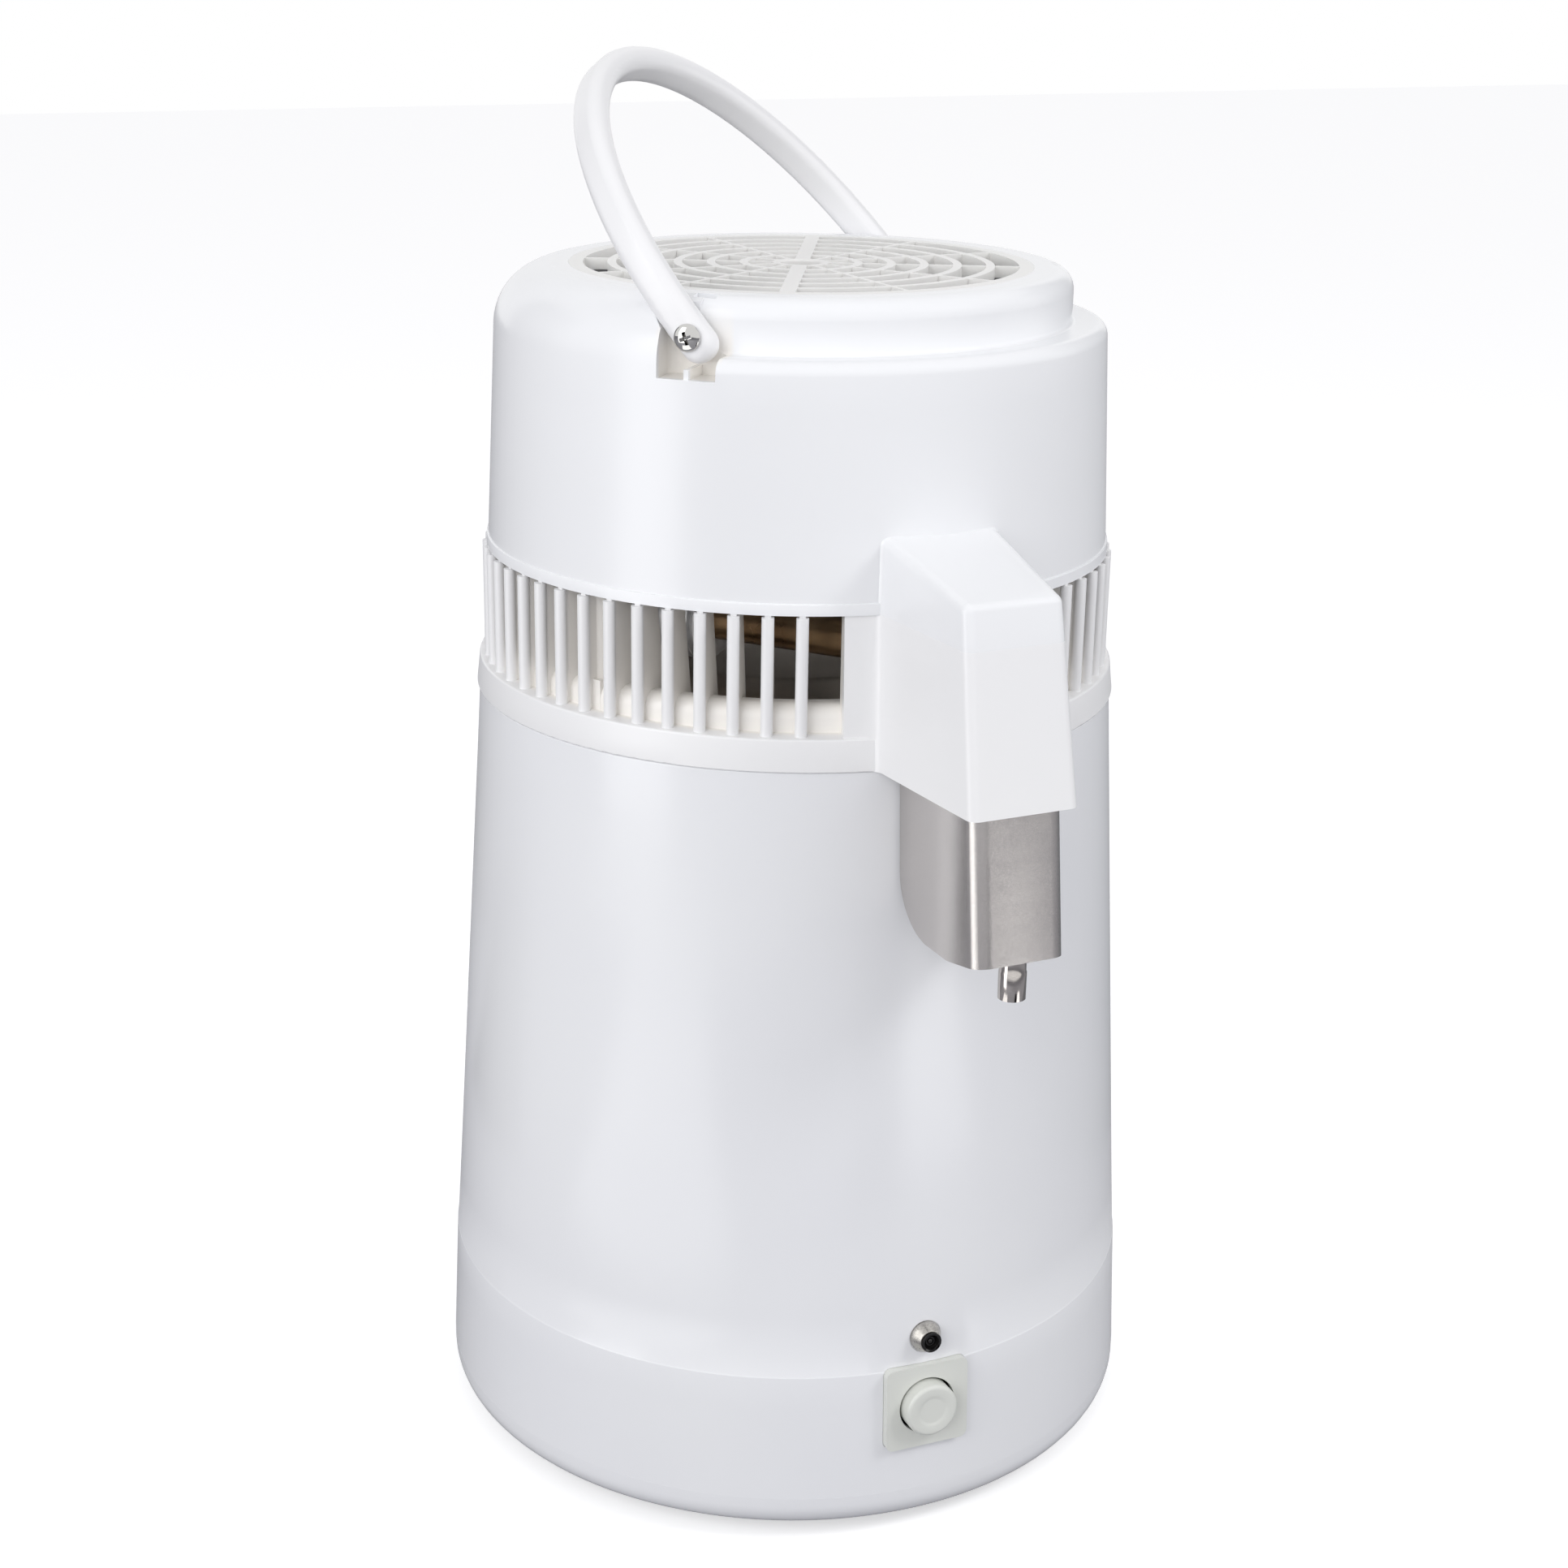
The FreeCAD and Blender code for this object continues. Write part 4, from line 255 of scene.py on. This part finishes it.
def band_shade_mask(tree):
    """1 on what lies behind the outer face of the vent band, by its distance from the axis; there the band gets
    its painted warm shade.
    """
    place = add_node(tree, "ShaderNodeTexCoord")
    level = add_node(tree, "ShaderNodeMapping", {"Vector": place.outputs["Object"], "Scale": (1, 1, 0)})
    radius = add_node(tree, "ShaderNodeVectorMath", {0: level.outputs[0]}, operation="LENGTH")
    behind = add_node(tree, "ShaderNodeMapRange", {"Value": radius.outputs["Value"], "From Min": BAND_FACE,
                                                   "From Max": BAND_FACE - BAND_FADE})
    return behind.outputs[0]


def notch_shade_mask(tree):
    """1 in the two pockets that the handle's ends stand in, which lie on a line at 45 degrees to X; there the head
    gets its painted warm shade.
    """
    place = add_node(tree, "ShaderNodeTexCoord")
    turned = add_node(tree, "ShaderNodeMapping", {"Vector": place.outputs["Object"],
                                                  "Rotation": (0, 0, math.radians(45))})
    both_sides = add_node(tree, "ShaderNodeVectorMath", {0: turned.outputs[0]}, operation="ABSOLUTE")
    spot = add_node(tree, "ShaderNodeSeparateXYZ", {"Vector": both_sides.outputs[0]})
    mask = 1.0
    for axis, outside, inside in NOTCH_EDGES:
        edge = add_node(tree, "ShaderNodeMapRange", {"Value": spot.outputs[axis], "From Min": outside,
                                                     "From Max": inside})
        product = add_node(tree, "ShaderNodeMath", {0: mask, 1: edge.outputs[0]}, operation="MULTIPLY")
        mask = product.outputs[0]
    return mask


def moulded_abs(name, dark, light, rough_low, rough_high, ripple=0.00002, recess=None):
    """ABS from a polished mould: a clean gloss with a faint orange peel, and painted warm shade in a recess."""
    material, tree, shader = start_material(name)
    cloud = object_grain(tree, DRIFT_GRAIN, 2.0).outputs["Fac"]
    peel = object_grain(tree, PEEL_GRAIN, 2.0).outputs["Fac"]
    colour = dress(tree, shader, cloud, cloud, (dark, light), (rough_low, rough_high))
    # Painted shade: inside the recess mask the colour turns towards a warm tone, standing in for the light that
    # bounces round inside a recess.
    if recess:
        mix = add_node(tree, "ShaderNodeMix", data_type="RGBA")
        tree.links.new(recess(tree), mix.inputs[0])
        tree.links.new(colour, mix.inputs[6])
        mix.inputs[7].default_value = hex_colour(RECESS_SHADE_TONE)
        tree.links.new(mix.outputs[2], shader.inputs["Base Color"])
    shader.inputs["IOR"].default_value = 1.53
    bump = add_node(tree, "ShaderNodeBump", {"Height": peel, "Distance": ripple, "Strength": 0.35})
    tree.links.new(bump.outputs[0], shader.inputs["Normal"])
    return material


def brushed_stainless(name, dark, light, rough_low, rough_high, stretch=(1, 1, 30), scale=BELT_GRAIN,
                      lines=0.00002, streak=0.0, crown=None):
    """Stainless steel with a belt finish: fine lines round the piece draw its reflections out upright."""
    material, tree, shader = start_material(name)
    if streak:
        belt = add_node(tree, "ShaderNodeTangent", direction_type="RADIAL", axis="Z")
        tree.links.new(belt.outputs[0], shader.inputs["Tangent"])
        shader.inputs["Anisotropic"].default_value = streak
        shader.inputs["Anisotropic Rotation"].default_value = 0.25
    belt_lines = object_grain(tree, scale, 4.0, stretch).outputs["Fac"]
    cloud = object_grain(tree, STEEL_CLOUD_GRAIN, 2.0).outputs["Fac"]
    dress(tree, shader, belt_lines, cloud, (dark, light), (rough_low, rough_high))
    shader.inputs["Metallic"].default_value = 1.0
    bump = add_node(tree, "ShaderNodeBump", {"Height": belt_lines, "Distance": lines, "Strength": 0.5})
    if crown:
        tree.links.new(crown(tree), bump.inputs["Normal"])
    tree.links.new(bump.outputs[0], shader.inputs["Normal"])
    return material


def cup_crown(tree):
    """Normal of the cup's faces, which are pressed a little proud in their middles."""
    low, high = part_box("filter_cup")
    middle = (low[1] + high[1]) / 2
    place = add_node(tree, "ShaderNodeTexCoord")
    level = add_node(tree, "ShaderNodeMapping", {"Vector": place.outputs["Object"], "Scale": (1, 1, 0),
                                                 "Location": (0, -middle, 0)})
    square = add_node(tree, "ShaderNodeVectorMath", {0: level.outputs[0], 1: level.outputs[0]},
                      operation="DOT_PRODUCT")
    fall = add_node(tree, "ShaderNodeMath", {0: square.outputs["Value"], 1: -0.5 / CUP_CROWN},
                    operation="MULTIPLY")
    return add_node(tree, "ShaderNodeBump", {"Height": fall.outputs[0], "Distance": 1.0}).outputs[0]


def plain_metal(name, dark, light, rough_low, rough_high, scale=METAL_GRAIN, metallic=1.0):
    """Metal left as made: drawn, plated or cast, with a cloudy sheen."""
    material, tree, shader = start_material(name)
    cloud = object_grain(tree, scale, 3.0).outputs["Fac"]
    dress(tree, shader, cloud, cloud, (dark, light), (rough_low, rough_high))
    shader.inputs["Metallic"].default_value = metallic
    bump = add_node(tree, "ShaderNodeBump", {"Height": cloud, "Distance": 0.00001, "Strength": 0.3})
    tree.links.new(bump.outputs[0], shader.inputs["Normal"])
    return material


def soft_rubber(name, dark, light):
    """Moulded rubber or silicone: matt, with a fine tooth."""
    material, tree, shader = start_material(name)
    tooth = object_grain(tree, RUBBER_GRAIN, 3.0).outputs["Fac"]
    dress(tree, shader, tooth, tooth, (dark, light), (0.55, 0.75))
    bump = add_node(tree, "ShaderNodeBump", {"Height": tooth, "Distance": 0.00004, "Strength": 0.5})
    tree.links.new(bump.outputs[0], shader.inputs["Normal"])
    return material


# Warm tone of the painted shade in the recesses of the white ABS.
RECESS_SHADE_TONE = "#F6F3EE"
CUP_CROWN = 120 * MM
BAND_INSET = 0.6 * MM
BAND_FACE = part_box("head_cover")[1][0] - BAND_INSET
BAND_FADE = 2.5 * MM
PIVOT_HEIGHT = joints["handle_swing"]["pos_m"][2]
NOTCH_HALF = 8.8 * MM
NOTCH_FACE = 92.4 * MM
NOTCH_FLOOR = PIVOT_HEIGHT - 11.5 * MM
# Each way out of a notch: the axis, where its painted warm shade has ended and where it is full.
NOTCH_EDGES = (
    ("X", NOTCH_HALF + 1.5 * MM, NOTCH_HALF),
    ("Y", NOTCH_FACE + 0.5 * MM, NOTCH_FACE - 1.0 * MM),
    ("Z", PIVOT_HEIGHT + 8 * MM, PIVOT_HEIGHT - 4 * MM),
    ("Z", NOTCH_FLOOR - 3 * MM, NOTCH_FLOOR - 2 * MM),
)

FINISHES = {
    # White ABS: glossy and cool on the shell and head, satin on the band, grille and handle.
    # The shell's tone is a little darker than the head's: painted shade of the lower body.
    "shell": moulded_abs("polished_abs_shell", "#EBECEF", "#EFF0F2", 0.17, 0.22),
    # The head's notches and the band's inner parts get a painted warm shade.
    "head": moulded_abs("polished_abs_head", "#EFF0F2", "#F2F3F5", 0.2, 0.26, recess=notch_shade_mask),
    "band": moulded_abs("satin_abs_band", "#EFEFF0", "#F2F2F2", 0.28, 0.36, 0.00003, band_shade_mask),
    "trim": moulded_abs("satin_abs_trim", "#EBEBE8", "#EFEEEC", 0.3, 0.38, 0.00003),
    "handle": moulded_abs("satin_abs_handle", "#EFEFF0", "#F2F2F3", 0.26, 0.34, 0.00003),
    # The switch is a faintly green ivory; the lens and the inlets are black.
    "switch": moulded_abs("moulded_urea_switch", "#DBDDD7", "#E0E2DC", 0.26, 0.34, 0.00002),
    "lens": moulded_abs("smoky_polycarbonate", "#0C0B0B", "#121111", 0.06, 0.1, 0.000005),
    "black": moulded_abs("moulded_black_nylon", "#141414", "#1C1C1C", 0.35, 0.45, 0.00003),
    # Stainless steel: the cup shows upright streaks, the tube is near a mirror, the pot is dull.
    "cup": brushed_stainless("belt_brushed_stainless", "#CAC5C2", "#DDD9D6", 0.17, 0.24,
                             scale=CUP_BELT_GRAIN, lines=0.00004, streak=0.7, crown=cup_crown),
    "tube": brushed_stainless("polished_stainless_tube", "#BFB9B5", "#D2CDC9", 0.07, 0.1, lines=0.000004),
    "pot": brushed_stainless("drawn_stainless", "#C6BDB2", "#D6CDC3", 0.4, 0.5, (30, 30, 1)),
    # Metal behind the vents: a pipe browned by heat, and pale fins.
    "pipe": plain_metal("heat_tinted_stainless", "#8A6F53", "#AC8F6E", 0.25, 0.38, 60.0),
    "fins": plain_metal("rolled_aluminium", "#DCDCDC", "#ECECED", 0.34, 0.45, metallic=0.6),
    # Fittings: plated, cast and turned metal, and the element's oxidised sheath.
    "bezel": plain_metal("satin_nickel_plate", "#B0ADA8", "#C6C3BE", 0.26, 0.33, 1400.0),
    "chrome": plain_metal("bright_chrome_plate", "#C9C8C6", "#DAD9D7", 0.04, 0.07, 40.0),
    "cast": plain_metal("cast_aluminium", "#8E9092", "#A9ABAD", 0.42, 0.55, 180.0),
    "sheath": plain_metal("oxidised_sheath", "#3C3936", "#5A554F", 0.45, 0.6, 140.0),
    "brass": plain_metal("turned_brass", "#A98B4C", "#C7A765", 0.22, 0.3),
    "zinc": plain_metal("zinc_plate", "#9DA0A3", "#BBBEC0", 0.3, 0.4, 120.0),
    # Matt and soft.
    "rubber": soft_rubber("black_rubber", "#161616", "#222222"),
    "silicone": soft_rubber("white_silicone", "#D2D0CA", "#DDDBD6"),
    "felt": soft_rubber("non_woven_sachet", "#D8D4CA", "#E6E3DA"),
}

# Finish of each node whose shape is kept; the modelled pieces get theirs where they are made.
NODE_FINISH = {
    "body_shell": "shell", "base_pan": "shell", "rubber_feet": "rubber", "boiling_pot": "pot",
    "heater_plate": "cast", "heater_element": "sheath", "thermal_cutouts": "zinc", "tie_rods": "zinc",
    "tie_nuts": "zinc", "switch_plate": "switch", "switch_housing": "black", "start_button": "switch",
    "led_bezel": "bezel", "led_nut": "brass", "power_inlet": "black", "inlet_pins": "brass",
    "head_cover": "head", "fan_inlet": "black", "fan_inlet_pins": "brass", "top_grille": "trim",
    "vent_band": "band", "band_screws": "zinc", "steam_gasket": "silicone", "condenser_pan": "pot",
    "condenser_coil": "pipe", "riser_nut": "brass", "motor_bracket": "zinc", "bracket_screws": "zinc",
    "fan_motor": "zinc", "motor_shaft": "zinc", "fan_blades": "trim", "carry_handle": "handle",
    "filter_cup": "cup", "spout_tube": "tube",
}


def body_of_node(node):
    """Name of the body that carries a node."""
    for body, members in frame["record"]["behaviour"]["bodies"].items():
        if node in members:
            return body
    raise ValueError(node)


def smooth_copy(node, angle=32.0):
    """Make a merged copy of a node, shaded smooth up to an angle, that stands for the node."""
    bpy.ops.object.select_all(action="DESELECT")
    source = nodes[node]
    mesh = source.data.copy()
    copy = bpy.data.objects.new(node + "_finished", mesh)
    bpy.context.scene.collection.objects.link(copy)
    bpy.context.view_layer.objects.active = copy
    copy.select_set(True)
    bpy.ops.object.mode_set(mode="EDIT")
    bpy.ops.mesh.select_all(action="SELECT")
    bpy.ops.mesh.remove_doubles(threshold=0.002 * MM)
    bpy.ops.object.mode_set(mode="OBJECT")
    if mesh.has_custom_normals:
        bpy.ops.mesh.customdata_custom_splitnormals_clear()
    bpy.ops.object.shade_smooth_by_angle(angle=math.radians(angle))
    settle(copy, node, FINISHES[NODE_FINISH[node]])


def settle(piece, node, material):
    """Give a piece its material, put it in its node's place and let it ride with the node's body."""
    piece.data.materials.clear()
    piece.data.materials.append(material)
    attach(piece, body_of_node(node))
    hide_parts(node)


# ---------------------------------------------------------------- modelled pieces

COIL_RADIUS = 62 * MM
COIL_DROP = 13 * MM
COIL_TOP = 321.5 * MM
COIL_START = 128.0
COIL_HALF_TURNS = 3
RUN_WAY = Vector((0.6157, -0.788, 0.0))
FINNED_RUN = 5 * MM
FIN_PITCH = 2.4 * MM
FIN_RADIUS = 12.5 * MM
FIN_METAL = 0.45 * MM
FIN_COLLAR = 10.4 * MM
PIPE_RADIUS = 6 * MM
FIN_HOLE = PIPE_RADIUS + 0.1 * MM
FIN_SIDES = 24

PIVOT_SCREW_HEAD = 3.9 * MM
PIVOT_SCREW_HIGH = 2.0 * MM
PIVOT_SCREW_RIM = 0.55 * MM
PIVOT_SCREW_CHAMFER = (0.1 * MM, 0.12 * MM)
PIVOT_SCREW_SHANK = 2.0 * MM
PIVOT_SCREW_LONG = 18.1 * MM
PIVOT_SCREW_SEAT = 92.3 * MM
PIVOT_AZIMUTHS = (-45.0, 135.0)
CROSS_WING = (4.9 * MM, 1.35 * MM, 3.0 * MM)
CROSS_RISE = 0.35 * MM
CROSS_TAPER = 0.42
CROSS_TURNS = (20, 110)

LED_LENS = 2.42 * MM
LED_RING = 3.25 * MM
LED_RING_BEVEL = 0.15 * MM
LED_RING_HIGH = 0.25 * MM
LED_CONE_LIP = 0.1 * MM
LED_CONE_FOOT = 1.7 * MM
LED_CONE_DEEP = 1.3 * MM
LED_BEAD_OUTER = 1.45 * MM
LED_BEAD_INNER = 1.2 * MM
LED_BEAD_FOOT = 1.15 * MM
LED_BEAD_HIGH = 0.25 * MM
LED_DOME = 1.0 * MM
LED_DOME_HIGH = 0.75 * MM
LED_DEPTH = 12 * MM
LED_PROUD = 0.15 * MM
LED_LEAN = math.radians(3.5)
CONTROL_AZIMUTH = -2.5

# Shares of its space that the sachet takes before it is filled, and of its width at its sealed faces.
SACHET_EMPTY = Vector((0.8, 0.86, 0.94))
SACHET_PINCH = 0.55
SACHET_CUTS = 14
CREASE_WIDTH = 6 * MM
CREASE_DEPTH = 0.5 * MM


def edit_mesh(piece):
    """Enter edit mode on one piece with nothing selected."""
    bpy.ops.object.select_all(action="DESELECT")
    piece.select_set(True)
    bpy.context.view_layer.objects.active = piece
    bpy.ops.object.mode_set(mode="EDIT")
    bpy.ops.mesh.select_all(action="DESELECT")


def pick_faces(piece, wanted):
    """Select the faces whose middle and normal a test accepts."""
    shape = bmesh.from_edit_mesh(piece.data)
    for face in shape.faces:
        face.select_set(wanted(face.calc_center_median(), face.normal))
    shape.select_flush(True)
    bmesh.update_edit_mesh(piece.data)


def leave_edit(piece):
    """Leave edit mode with nothing selected."""
    bpy.ops.object.mode_set(mode="OBJECT")
    bpy.ops.object.select_all(action="DESELECT")
    return piece


def put_at(piece, place, way, name):
    """Stand a piece's Z along a direction at a place, and keep the place in its mesh."""
    piece.name = name
    piece.matrix_world = Matrix.Translation(place) @ way.to_track_quat("Z", "Y").to_matrix().to_4x4()
    bpy.ops.object.select_all(action="DESELECT")
    piece.select_set(True)
    bpy.context.view_layer.objects.active = piece
    bpy.ops.object.transform_apply(location=True, rotation=True, scale=True)
    return piece


def joined(pieces, name):
    """One object from several."""
    bpy.ops.object.select_all(action="DESELECT")
    for piece in pieces:
        piece.select_set(True)
    bpy.context.view_layer.objects.active = pieces[0]
    bpy.ops.object.join()
    pieces[0].name = name
    return pieces[0]


def spun(name, outline, steps=40):
    """A turned piece: an outline of radii and heights, drawn by extrusion and spun round Z."""
    bpy.ops.mesh.primitive_plane_add(size=MM)
    piece = bpy.context.object
    piece.name = name
    bpy.ops.object.mode_set(mode="EDIT")
    bpy.ops.mesh.select_all(action="SELECT")
    bpy.ops.mesh.merge(type="CENTER")
    bpy.ops.transform.translate(value=(outline[0][0], 0, outline[0][1]))
    for here, there in zip(outline, outline[1:]):
        step = (there[0] - here[0], 0, there[1] - here[1])
        bpy.ops.mesh.extrude_region_move(TRANSFORM_OT_translate={"value": step})
    bpy.ops.mesh.select_all(action="SELECT")
    bpy.ops.mesh.spin(steps=steps, angle=math.tau, center=(0, 0, 0), axis=(0, 0, 1))
    bpy.ops.mesh.select_all(action="SELECT")
    bpy.ops.mesh.remove_doubles(threshold=0.001 * MM)
    bpy.ops.mesh.normals_make_consistent(inside=False)
    return leave_edit(piece)


def shade(piece, angle=35.0):
    """Shade a piece smooth but for edges sharper than an angle."""
    bpy.ops.object.select_all(action="DESELECT")
    piece.select_set(True)
    bpy.context.view_layer.objects.active = piece
    bpy.ops.object.shade_smooth_by_angle(angle=math.radians(angle))
    return piece


def coil_stations():
    """Middle and direction of each fin along the coil's half turns and the start of its outlet run."""
    stations = []
    reach = math.hypot(COIL_RADIUS, COIL_DROP / 2)
    count = int(math.pi * reach / FIN_PITCH)
    for half_turn in range(COIL_HALF_TURNS):
        azimuth = COIL_START + 180 * half_turn
        height = COIL_TOP - COIL_DROP * half_turn
        middle = Vector((0, 0, height - COIL_DROP / 2))
        ahead = around(COIL_RADIUS, azimuth, height) - middle
        aside = around(reach, azimuth + 90, 0)
        for index in range(count):
            turn = math.pi * (index + 0.5) / count
            spot = middle + ahead * math.cos(turn) + aside * math.sin(turn)
            stations.append((spot, aside * math.cos(turn) - ahead * math.sin(turn)))
    leave = around(COIL_RADIUS, COIL_START + 180 * COIL_HALF_TURNS, COIL_TOP - COIL_DROP * COIL_HALF_TURNS)
    for index in range(int(FINNED_RUN / FIN_PITCH)):
        stations.append((leave + RUN_WAY * FIN_PITCH * (index + 0.5), RUN_WAY))
    return stations


def model_fin():
    """One round fin: a thin washer with a drawn collar that spaces it from the next, and its hole."""
    bpy.ops.mesh.primitive_cylinder_add(vertices=FIN_SIDES, radius=FIN_RADIUS, depth=FIN_METAL)
    fin = bpy.context.object
    edit_mesh(fin)
    pick_faces(fin, lambda middle, normal: normal.z > 0.9)
    bpy.ops.mesh.inset(thickness=FIN_RADIUS - FIN_COLLAR)
    bpy.ops.mesh.extrude_region_move(TRANSFORM_OT_translate={"value": (0, 0, FIN_PITCH)})
    bpy.ops.mesh.inset(thickness=FIN_COLLAR - FIN_HOLE)
    shape = bmesh.from_edit_mesh(fin.data)
    top = next(face for face in shape.faces if face.select)
    pick_faces(fin, lambda middle, normal: normal.z < -0.9)
    bpy.ops.mesh.inset(thickness=FIN_RADIUS - FIN_HOLE)
    top.select_set(True)
    bpy.ops.mesh.bridge_edge_loops()
    return leave_edit(fin)


def model_fins():
    """Every fin of the coil at its real pitch, each a copy of one washer."""
    pattern = model_fin()
    fins = []
    for spot, way in coil_stations():
        fin = bpy.data.objects.new("fin", pattern.data.copy())
        bpy.context.scene.collection.objects.link(fin)
        fins.append(put_at(fin, spot, way, "fin"))
    bpy.data.objects.remove(pattern)
    stack = shade(joined(fins, "coil_fins_finished"), 40.0)
    settle(stack, "coil_fins", FINISHES["fins"])


def cut_cross(head):
    """Sink a cross recess with tapering wings into the top of a screw's head."""
    wings = []
    for turn in CROSS_TURNS:
        bpy.ops.mesh.primitive_cube_add(size=1, location=(0, 0, PIVOT_SCREW_HIGH - CROSS_RISE))
        wing = bpy.context.object
        wing.scale = CROSS_WING
        wing.rotation_euler = (0, 0, math.radians(turn))
        bpy.ops.object.transform_apply(location=True, rotation=True, scale=True)
        edit_mesh(wing)
        pick_faces(wing, lambda middle, normal: normal.z < -0.9)
        bpy.ops.transform.resize(value=(CROSS_TAPER, CROSS_TAPER, 1.0))
        wings.append(leave_edit(wing))
    for wing in wings:
        cutter = head.modifiers.new("recess", "BOOLEAN")
        cutter.operation = "DIFFERENCE"
        cutter.object = wing
        bpy.context.view_layer.objects.active = head
        bpy.ops.object.modifier_apply(modifier=cutter.name)
        bpy.data.objects.remove(wing)


def model_pivot_screws():
    """Pan-head screws of the handle: a low dome with a rolled edge and a cross recess, on a plain shank."""
    radius, high, rim = PIVOT_SCREW_HEAD, PIVOT_SCREW_HIGH, PIVOT_SCREW_RIM
    inset, rise = PIVOT_SCREW_CHAMFER
    dome = [(radius * math.cos(angle), rim + (high - rim) * math.sin(angle))
            for angle in (math.radians(10 * step) for step in range(9))]
    outline = [(0, -PIVOT_SCREW_LONG), (PIVOT_SCREW_SHANK, -PIVOT_SCREW_LONG), (PIVOT_SCREW_SHANK, 0),
               (radius - inset, 0), (radius, rise), *dome, (0, high)]
    screws = []
    for azimuth in PIVOT_AZIMUTHS:
        screw = spun("pivot_screw", outline)
        cut_cross(screw)
        seat = around(PIVOT_SCREW_SEAT, azimuth, PIVOT_HEIGHT)
        screws.append(put_at(screw, seat, around(1, azimuth, 0), "pivot_screw"))
    pair = shade(joined(screws, "pivot_screws_finished"))
    settle(pair, "pivot_screws", FINISHES["chrome"])


def model_led_lens():
    """Dark lens of the lamp: a black cone with a small clear dome and a ring round it at its foot."""
    foot, bead = -LED_CONE_DEEP, LED_BEAD_HIGH - LED_CONE_DEEP
    outline = [(0, -LED_DEPTH), (LED_LENS, -LED_DEPTH), (LED_LENS, 0), (LED_RING, 0),
               (LED_RING, LED_RING_BEVEL), (LED_RING - LED_RING_BEVEL, LED_RING_HIGH),
               (LED_LENS, LED_CONE_LIP), (LED_CONE_FOOT, foot), (LED_BEAD_OUTER, bead),
               (LED_BEAD_INNER, bead), (LED_BEAD_FOOT, foot), (LED_DOME, foot)]
    for step in range(1, 6):
        angle = math.radians(18 * step)
        outline.append((LED_DOME * math.cos(angle), foot + LED_DOME_HIGH * math.sin(angle)))
    lens = spun("led_lens_finished", outline)
    low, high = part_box("led_bezel")
    way = around(1, CONTROL_AZIMUTH, math.tan(LED_LEAN)).normalized()
    front = Vector(((low[0] + high[0]) / 2, low[1], (low[2] + high[2]) / 2))
    front += way * LED_PROUD
    put_at(lens, front, way, "led_lens_finished")
    settle(shade(lens), "led_lens", FINISHES["lens"])


def model_sachet():
    """Carbon sachet: a heat-sealed pillow of non-woven cloth, filled and creased at its ends."""
    low, high = (Vector(corner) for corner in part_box("carbon_sachet"))
    middle, size = (low + high) / 2, high - low
    bpy.ops.mesh.primitive_cube_add(size=1, location=middle)
    sachet = bpy.context.object
    sachet.scale = size * SACHET_EMPTY
    bpy.ops.object.transform_apply(location=True, rotation=True, scale=True)
    edit_mesh(sachet)
    pick_faces(sachet, lambda spot, normal: abs(normal.z) > 0.9)
    bpy.ops.transform.resize(value=(SACHET_PINCH, 1.0, 1.0))
    bpy.ops.mesh.select_all(action="SELECT")
    bpy.ops.mesh.subdivide(number_cuts=SACHET_CUTS)
    leave_edit(sachet)
    swell(sachet)
    crease = sachet.modifiers.new("crease", "DISPLACE")
    crease.texture = bpy.data.textures.new("crease", "CLOUDS")
    crease.texture.noise_scale = CREASE_WIDTH
    crease.strength = CREASE_DEPTH
    finer = sachet.modifiers.new("finer", "SUBSURF")
    finer.levels = finer.render_levels = 1
    sachet.select_set(True)
    bpy.context.view_layer.objects.active = sachet
    for name in ("finer", "crease"):
        bpy.ops.object.modifier_apply(modifier=name)
    sachet.name = "carbon_sachet_finished"
    settle(shade(sachet, 60.0), "carbon_sachet", FINISHES["felt"])


def swell(pad, cap=1.3 * MM, frames=18):
    """Fill a pad by a cloth simulation with pressure, letting no point move further than a cap."""
    bpy.context.view_layer.objects.active = pad
    pad.select_set(True)
    start = [point.co.copy() for point in pad.data.vertices]
    cloth = pad.modifiers.new("cloth", "CLOTH")
    cloth.settings.use_pressure = True
    cloth.settings.uniform_pressure_force = 4.0
    cloth.settings.effector_weights.gravity = 0.0
    for number in range(1, frames + 1):
        bpy.context.scene.frame_set(number)
    bpy.ops.object.modifier_apply(modifier=cloth.name)
    for point, before in zip(pad.data.vertices, start):
        move = point.co - before
        if move.length > cap:
            point.co = before + move.normalized() * cap
    bpy.context.scene.frame_set(1)


bpy.ops.object.select_all(action="DESELECT")
bpy.context.scene.view_settings.view_transform = "Standard"
set_camera()
set_world()
add_floor()
# Azimuth from the spout's side in degrees, height, distance, and width and height of the lamp or card.
add_softbox("key_left", -60, 0.9, 1.5, (1.4, 1.2), 12)
add_softbox("key_right", 46, 1.2, 1.3, (0.5, 0.5), 7.5)
add_card("card_back_left", -140, 0.4, 1.3, (0.8, 1.6), "#8A8A8C")
add_card("card_back_right", 112, 0.4, 1.3, (0.9, 1.6), "#94969A")
add_card("card_left", -78, 0.5, 1.0, (0.43, 1.2), "#FFFFFF", 2.5)
add_card("card_floor_back", -150, BACK_CARD_HEIGHT, 0.9, (0.7, 0.8), "#7E7E80", flat=True)
add_card("card_floor_right", 110, BACK_CARD_HEIGHT, 0.8, (0.9, 1.1), "#7E8084", flat=True)
add_card("card_cup_side", -133, CUP_CARD_HEIGHT, 0.5, (0.22, 0.4), "#1E1C1B", flat=True)
add_card("card_cup_edge", -65, CUP_CARD_HEIGHT, 0.5, (0.3, 0.4), "#FFFFFF", 1.6, flat=True)
add_card("card_cup_corner", 2, CUP_CARD_HEIGHT, 0.62, (0.14, 0.5), "#0E0B0A", flat=True)
add_card("card_cup_front", 20, CUP_CARD_HEIGHT, 0.66, (0.2, 0.5), "#FFFFFF", 1.9, flat=True)
model_fins()
model_pivot_screws()
model_led_lens()
model_sachet()
MODELLED = ("coil_fins", "pivot_screws", "led_lens", "carbon_sachet")
for node in nodes:
    if node not in MODELLED:
        smooth_copy(node)
